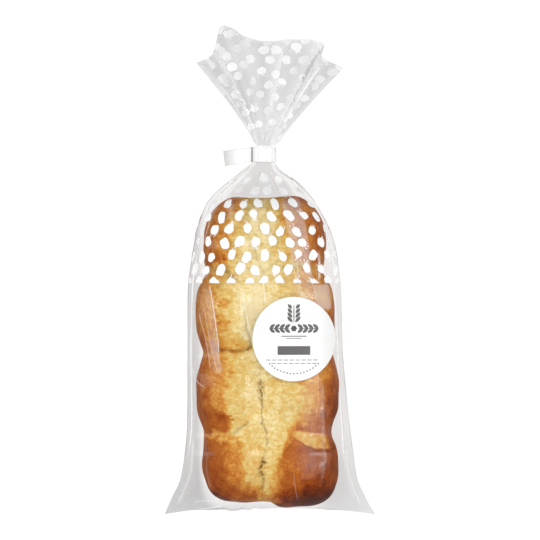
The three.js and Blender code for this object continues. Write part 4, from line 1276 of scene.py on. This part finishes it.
grids = np.array([mark_grid(*mark) for mark in marks])
mark_points = on_label(LABEL_X + grids[:, 0], LABEL_Y + grids[:, 1], LABEL_LIFT + INK_LIFT)
# The points across each mark are turned round, so that its faces point up
label_print = sheet_mesh("label_print", mark_points[:, :, ::-1])

# Offset ink: one even warm grey with a low sheen, as a printed solid has
grey_finish, tree, surface = new_material("warm_grey_offset_ink")
grey_ink = node(tree, "BsdfPrincipled", {"Base Color": srgb("#5C5A5A"), "Roughness": 0.45, "IOR": 1.45})
tree.links.new(grey_ink, surface)
label_print.data.materials.append(grey_finish)
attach(label_print, "root")

# The studio: a white table that glows a little, so that the pack stands out from clean white, and a long
# lens over the pack. Three broad lamps light what is matt, and windows and strips make the highlights.
VIEW_WIDTH = 0.432
CAMERA_HEIGHT = 4.0
OUTLINE_HEIGHT = 0.033
SENSOR = 36.0
TABLE_HALF = 4000.0
TABLE_GLOW, TABLE_GLOW_MIRRORED = 0.8, 0.22
BACKDROP_SEEN, BACKDROP_GLOW, BACKDROP_MIRRORED = 0.93, 0.06, 0.16

corners = TABLE_HALF * np.array([(-1, -1, 0), (1, -1, 0), (1, 1, 0), (-1, 1, 0)])
floor = mesh_piece("floor", corners, [(0, 1, 2, 3)], smooth=False)
floor_finish, tree, surface = new_material("white_light_table")
mirrored = node(tree, "LightPath", output="Is Glossy Ray")
strength = node(tree, "Mix", {0: mirrored, 2: TABLE_GLOW, 3: TABLE_GLOW_MIRRORED})
glow = node(tree, "Emission", {"Color": (1, 1, 1, 1), "Strength": strength})
matt = node(tree, "BsdfDiffuse", {"Color": (0.28, 0.28, 0.28, 1)})
table = node(tree, "AddShader", {0: glow, 1: matt})
tree.links.new(table, surface)
floor.data.materials.append(floor_finish)

world = bpy.data.worlds.new("studio")
world.use_nodes = True
tree = world.node_tree
tree.nodes.clear()
mirrored, seen = (node(tree, "LightPath", output=name) for name in ("Is Glossy Ray", "Is Camera Ray"))
sky = node(tree, "Mix", {0: mirrored, 2: BACKDROP_GLOW, 3: BACKDROP_MIRRORED})
sky = node(tree, "Mix", {0: seen, 2: sky, 3: BACKDROP_SEEN})
backdrop = node(tree, "Background", {"Color": (1, 1, 1, 1), "Strength": sky})
tree.links.new(backdrop, tree.nodes.new("ShaderNodeOutputWorld").inputs["Surface"])
bpy.context.scene.world = world


def softbox(name, azimuth, elevation, distance, size, radiance, along=0.0, mirrored=True):
    """Adds a rectangular lamp that faces the middle of the pack, or a place along it. Azimuth 0 lies
    towards +X, angles are in degrees, and the power follows from the radiance, a quarter of power over
    area. A mirrored lamp only makes highlights, and another only lights what is matt."""
    lamp = bpy.data.lights.new(name, "AREA")
    lamp.shape = "RECTANGLE"
    lamp.size, lamp.size_y = size
    lamp.energy = 4 * radiance * size[0] * size[1]
    made = bpy.data.objects.new(name, lamp)
    a, e = np.radians(azimuth), np.radians(elevation)
    towards_lamp = np.array([np.cos(e) * np.cos(a), np.cos(e) * np.sin(a), np.sin(e)])
    made.location = distance * towards_lamp + (0, along, 0)
    made.rotation_euler = (np.pi / 2 - e, 0, np.pi / 2 + a)
    made.visible_glossy = mirrored
    made.visible_diffuse = not mirrored
    bpy.context.scene.collection.objects.link(made)


softbox("overhead_light", 0, 90, 1.8, (1.8, 1.8), 2.5, mirrored=False)
softbox("left_light", 180, 39, 1.4, (2.6, 0.54), 1.9, mirrored=False)
softbox("right_light", 0, 35, 1.4, (2.4, 0.54), 1.9, mirrored=False)
softbox("left_window", 180, 30, 1.4, (0.4, 0.9), 1.4, along=0.13)
softbox("left_strip", 180, 54, 1.5, (0.4, 0.05), 6.5, along=0.12)
softbox("right_window", 0, 56, 1.4, (1.6, 0.8), 0.85, along=-0.5)
softbox("front_window", 0, 62, 1.5, (0.34, 0.6), 3.0, along=0.17)
softbox("right_strip", 0, 50, 1.3, (1.1, 0.05), 6.0, along=-0.25)

camera_data = bpy.data.cameras.new("camera")
camera_data.sensor_width = SENSOR
camera_data.lens = SENSOR * (CAMERA_HEIGHT - OUTLINE_HEIGHT) / VIEW_WIDTH
camera = bpy.data.objects.new("camera", camera_data)
camera.location = (0.0, 0.0, CAMERA_HEIGHT)
bpy.context.scene.collection.objects.link(camera)
bpy.context.scene.camera = camera
bpy.context.scene.view_settings.view_transform = "Standard"
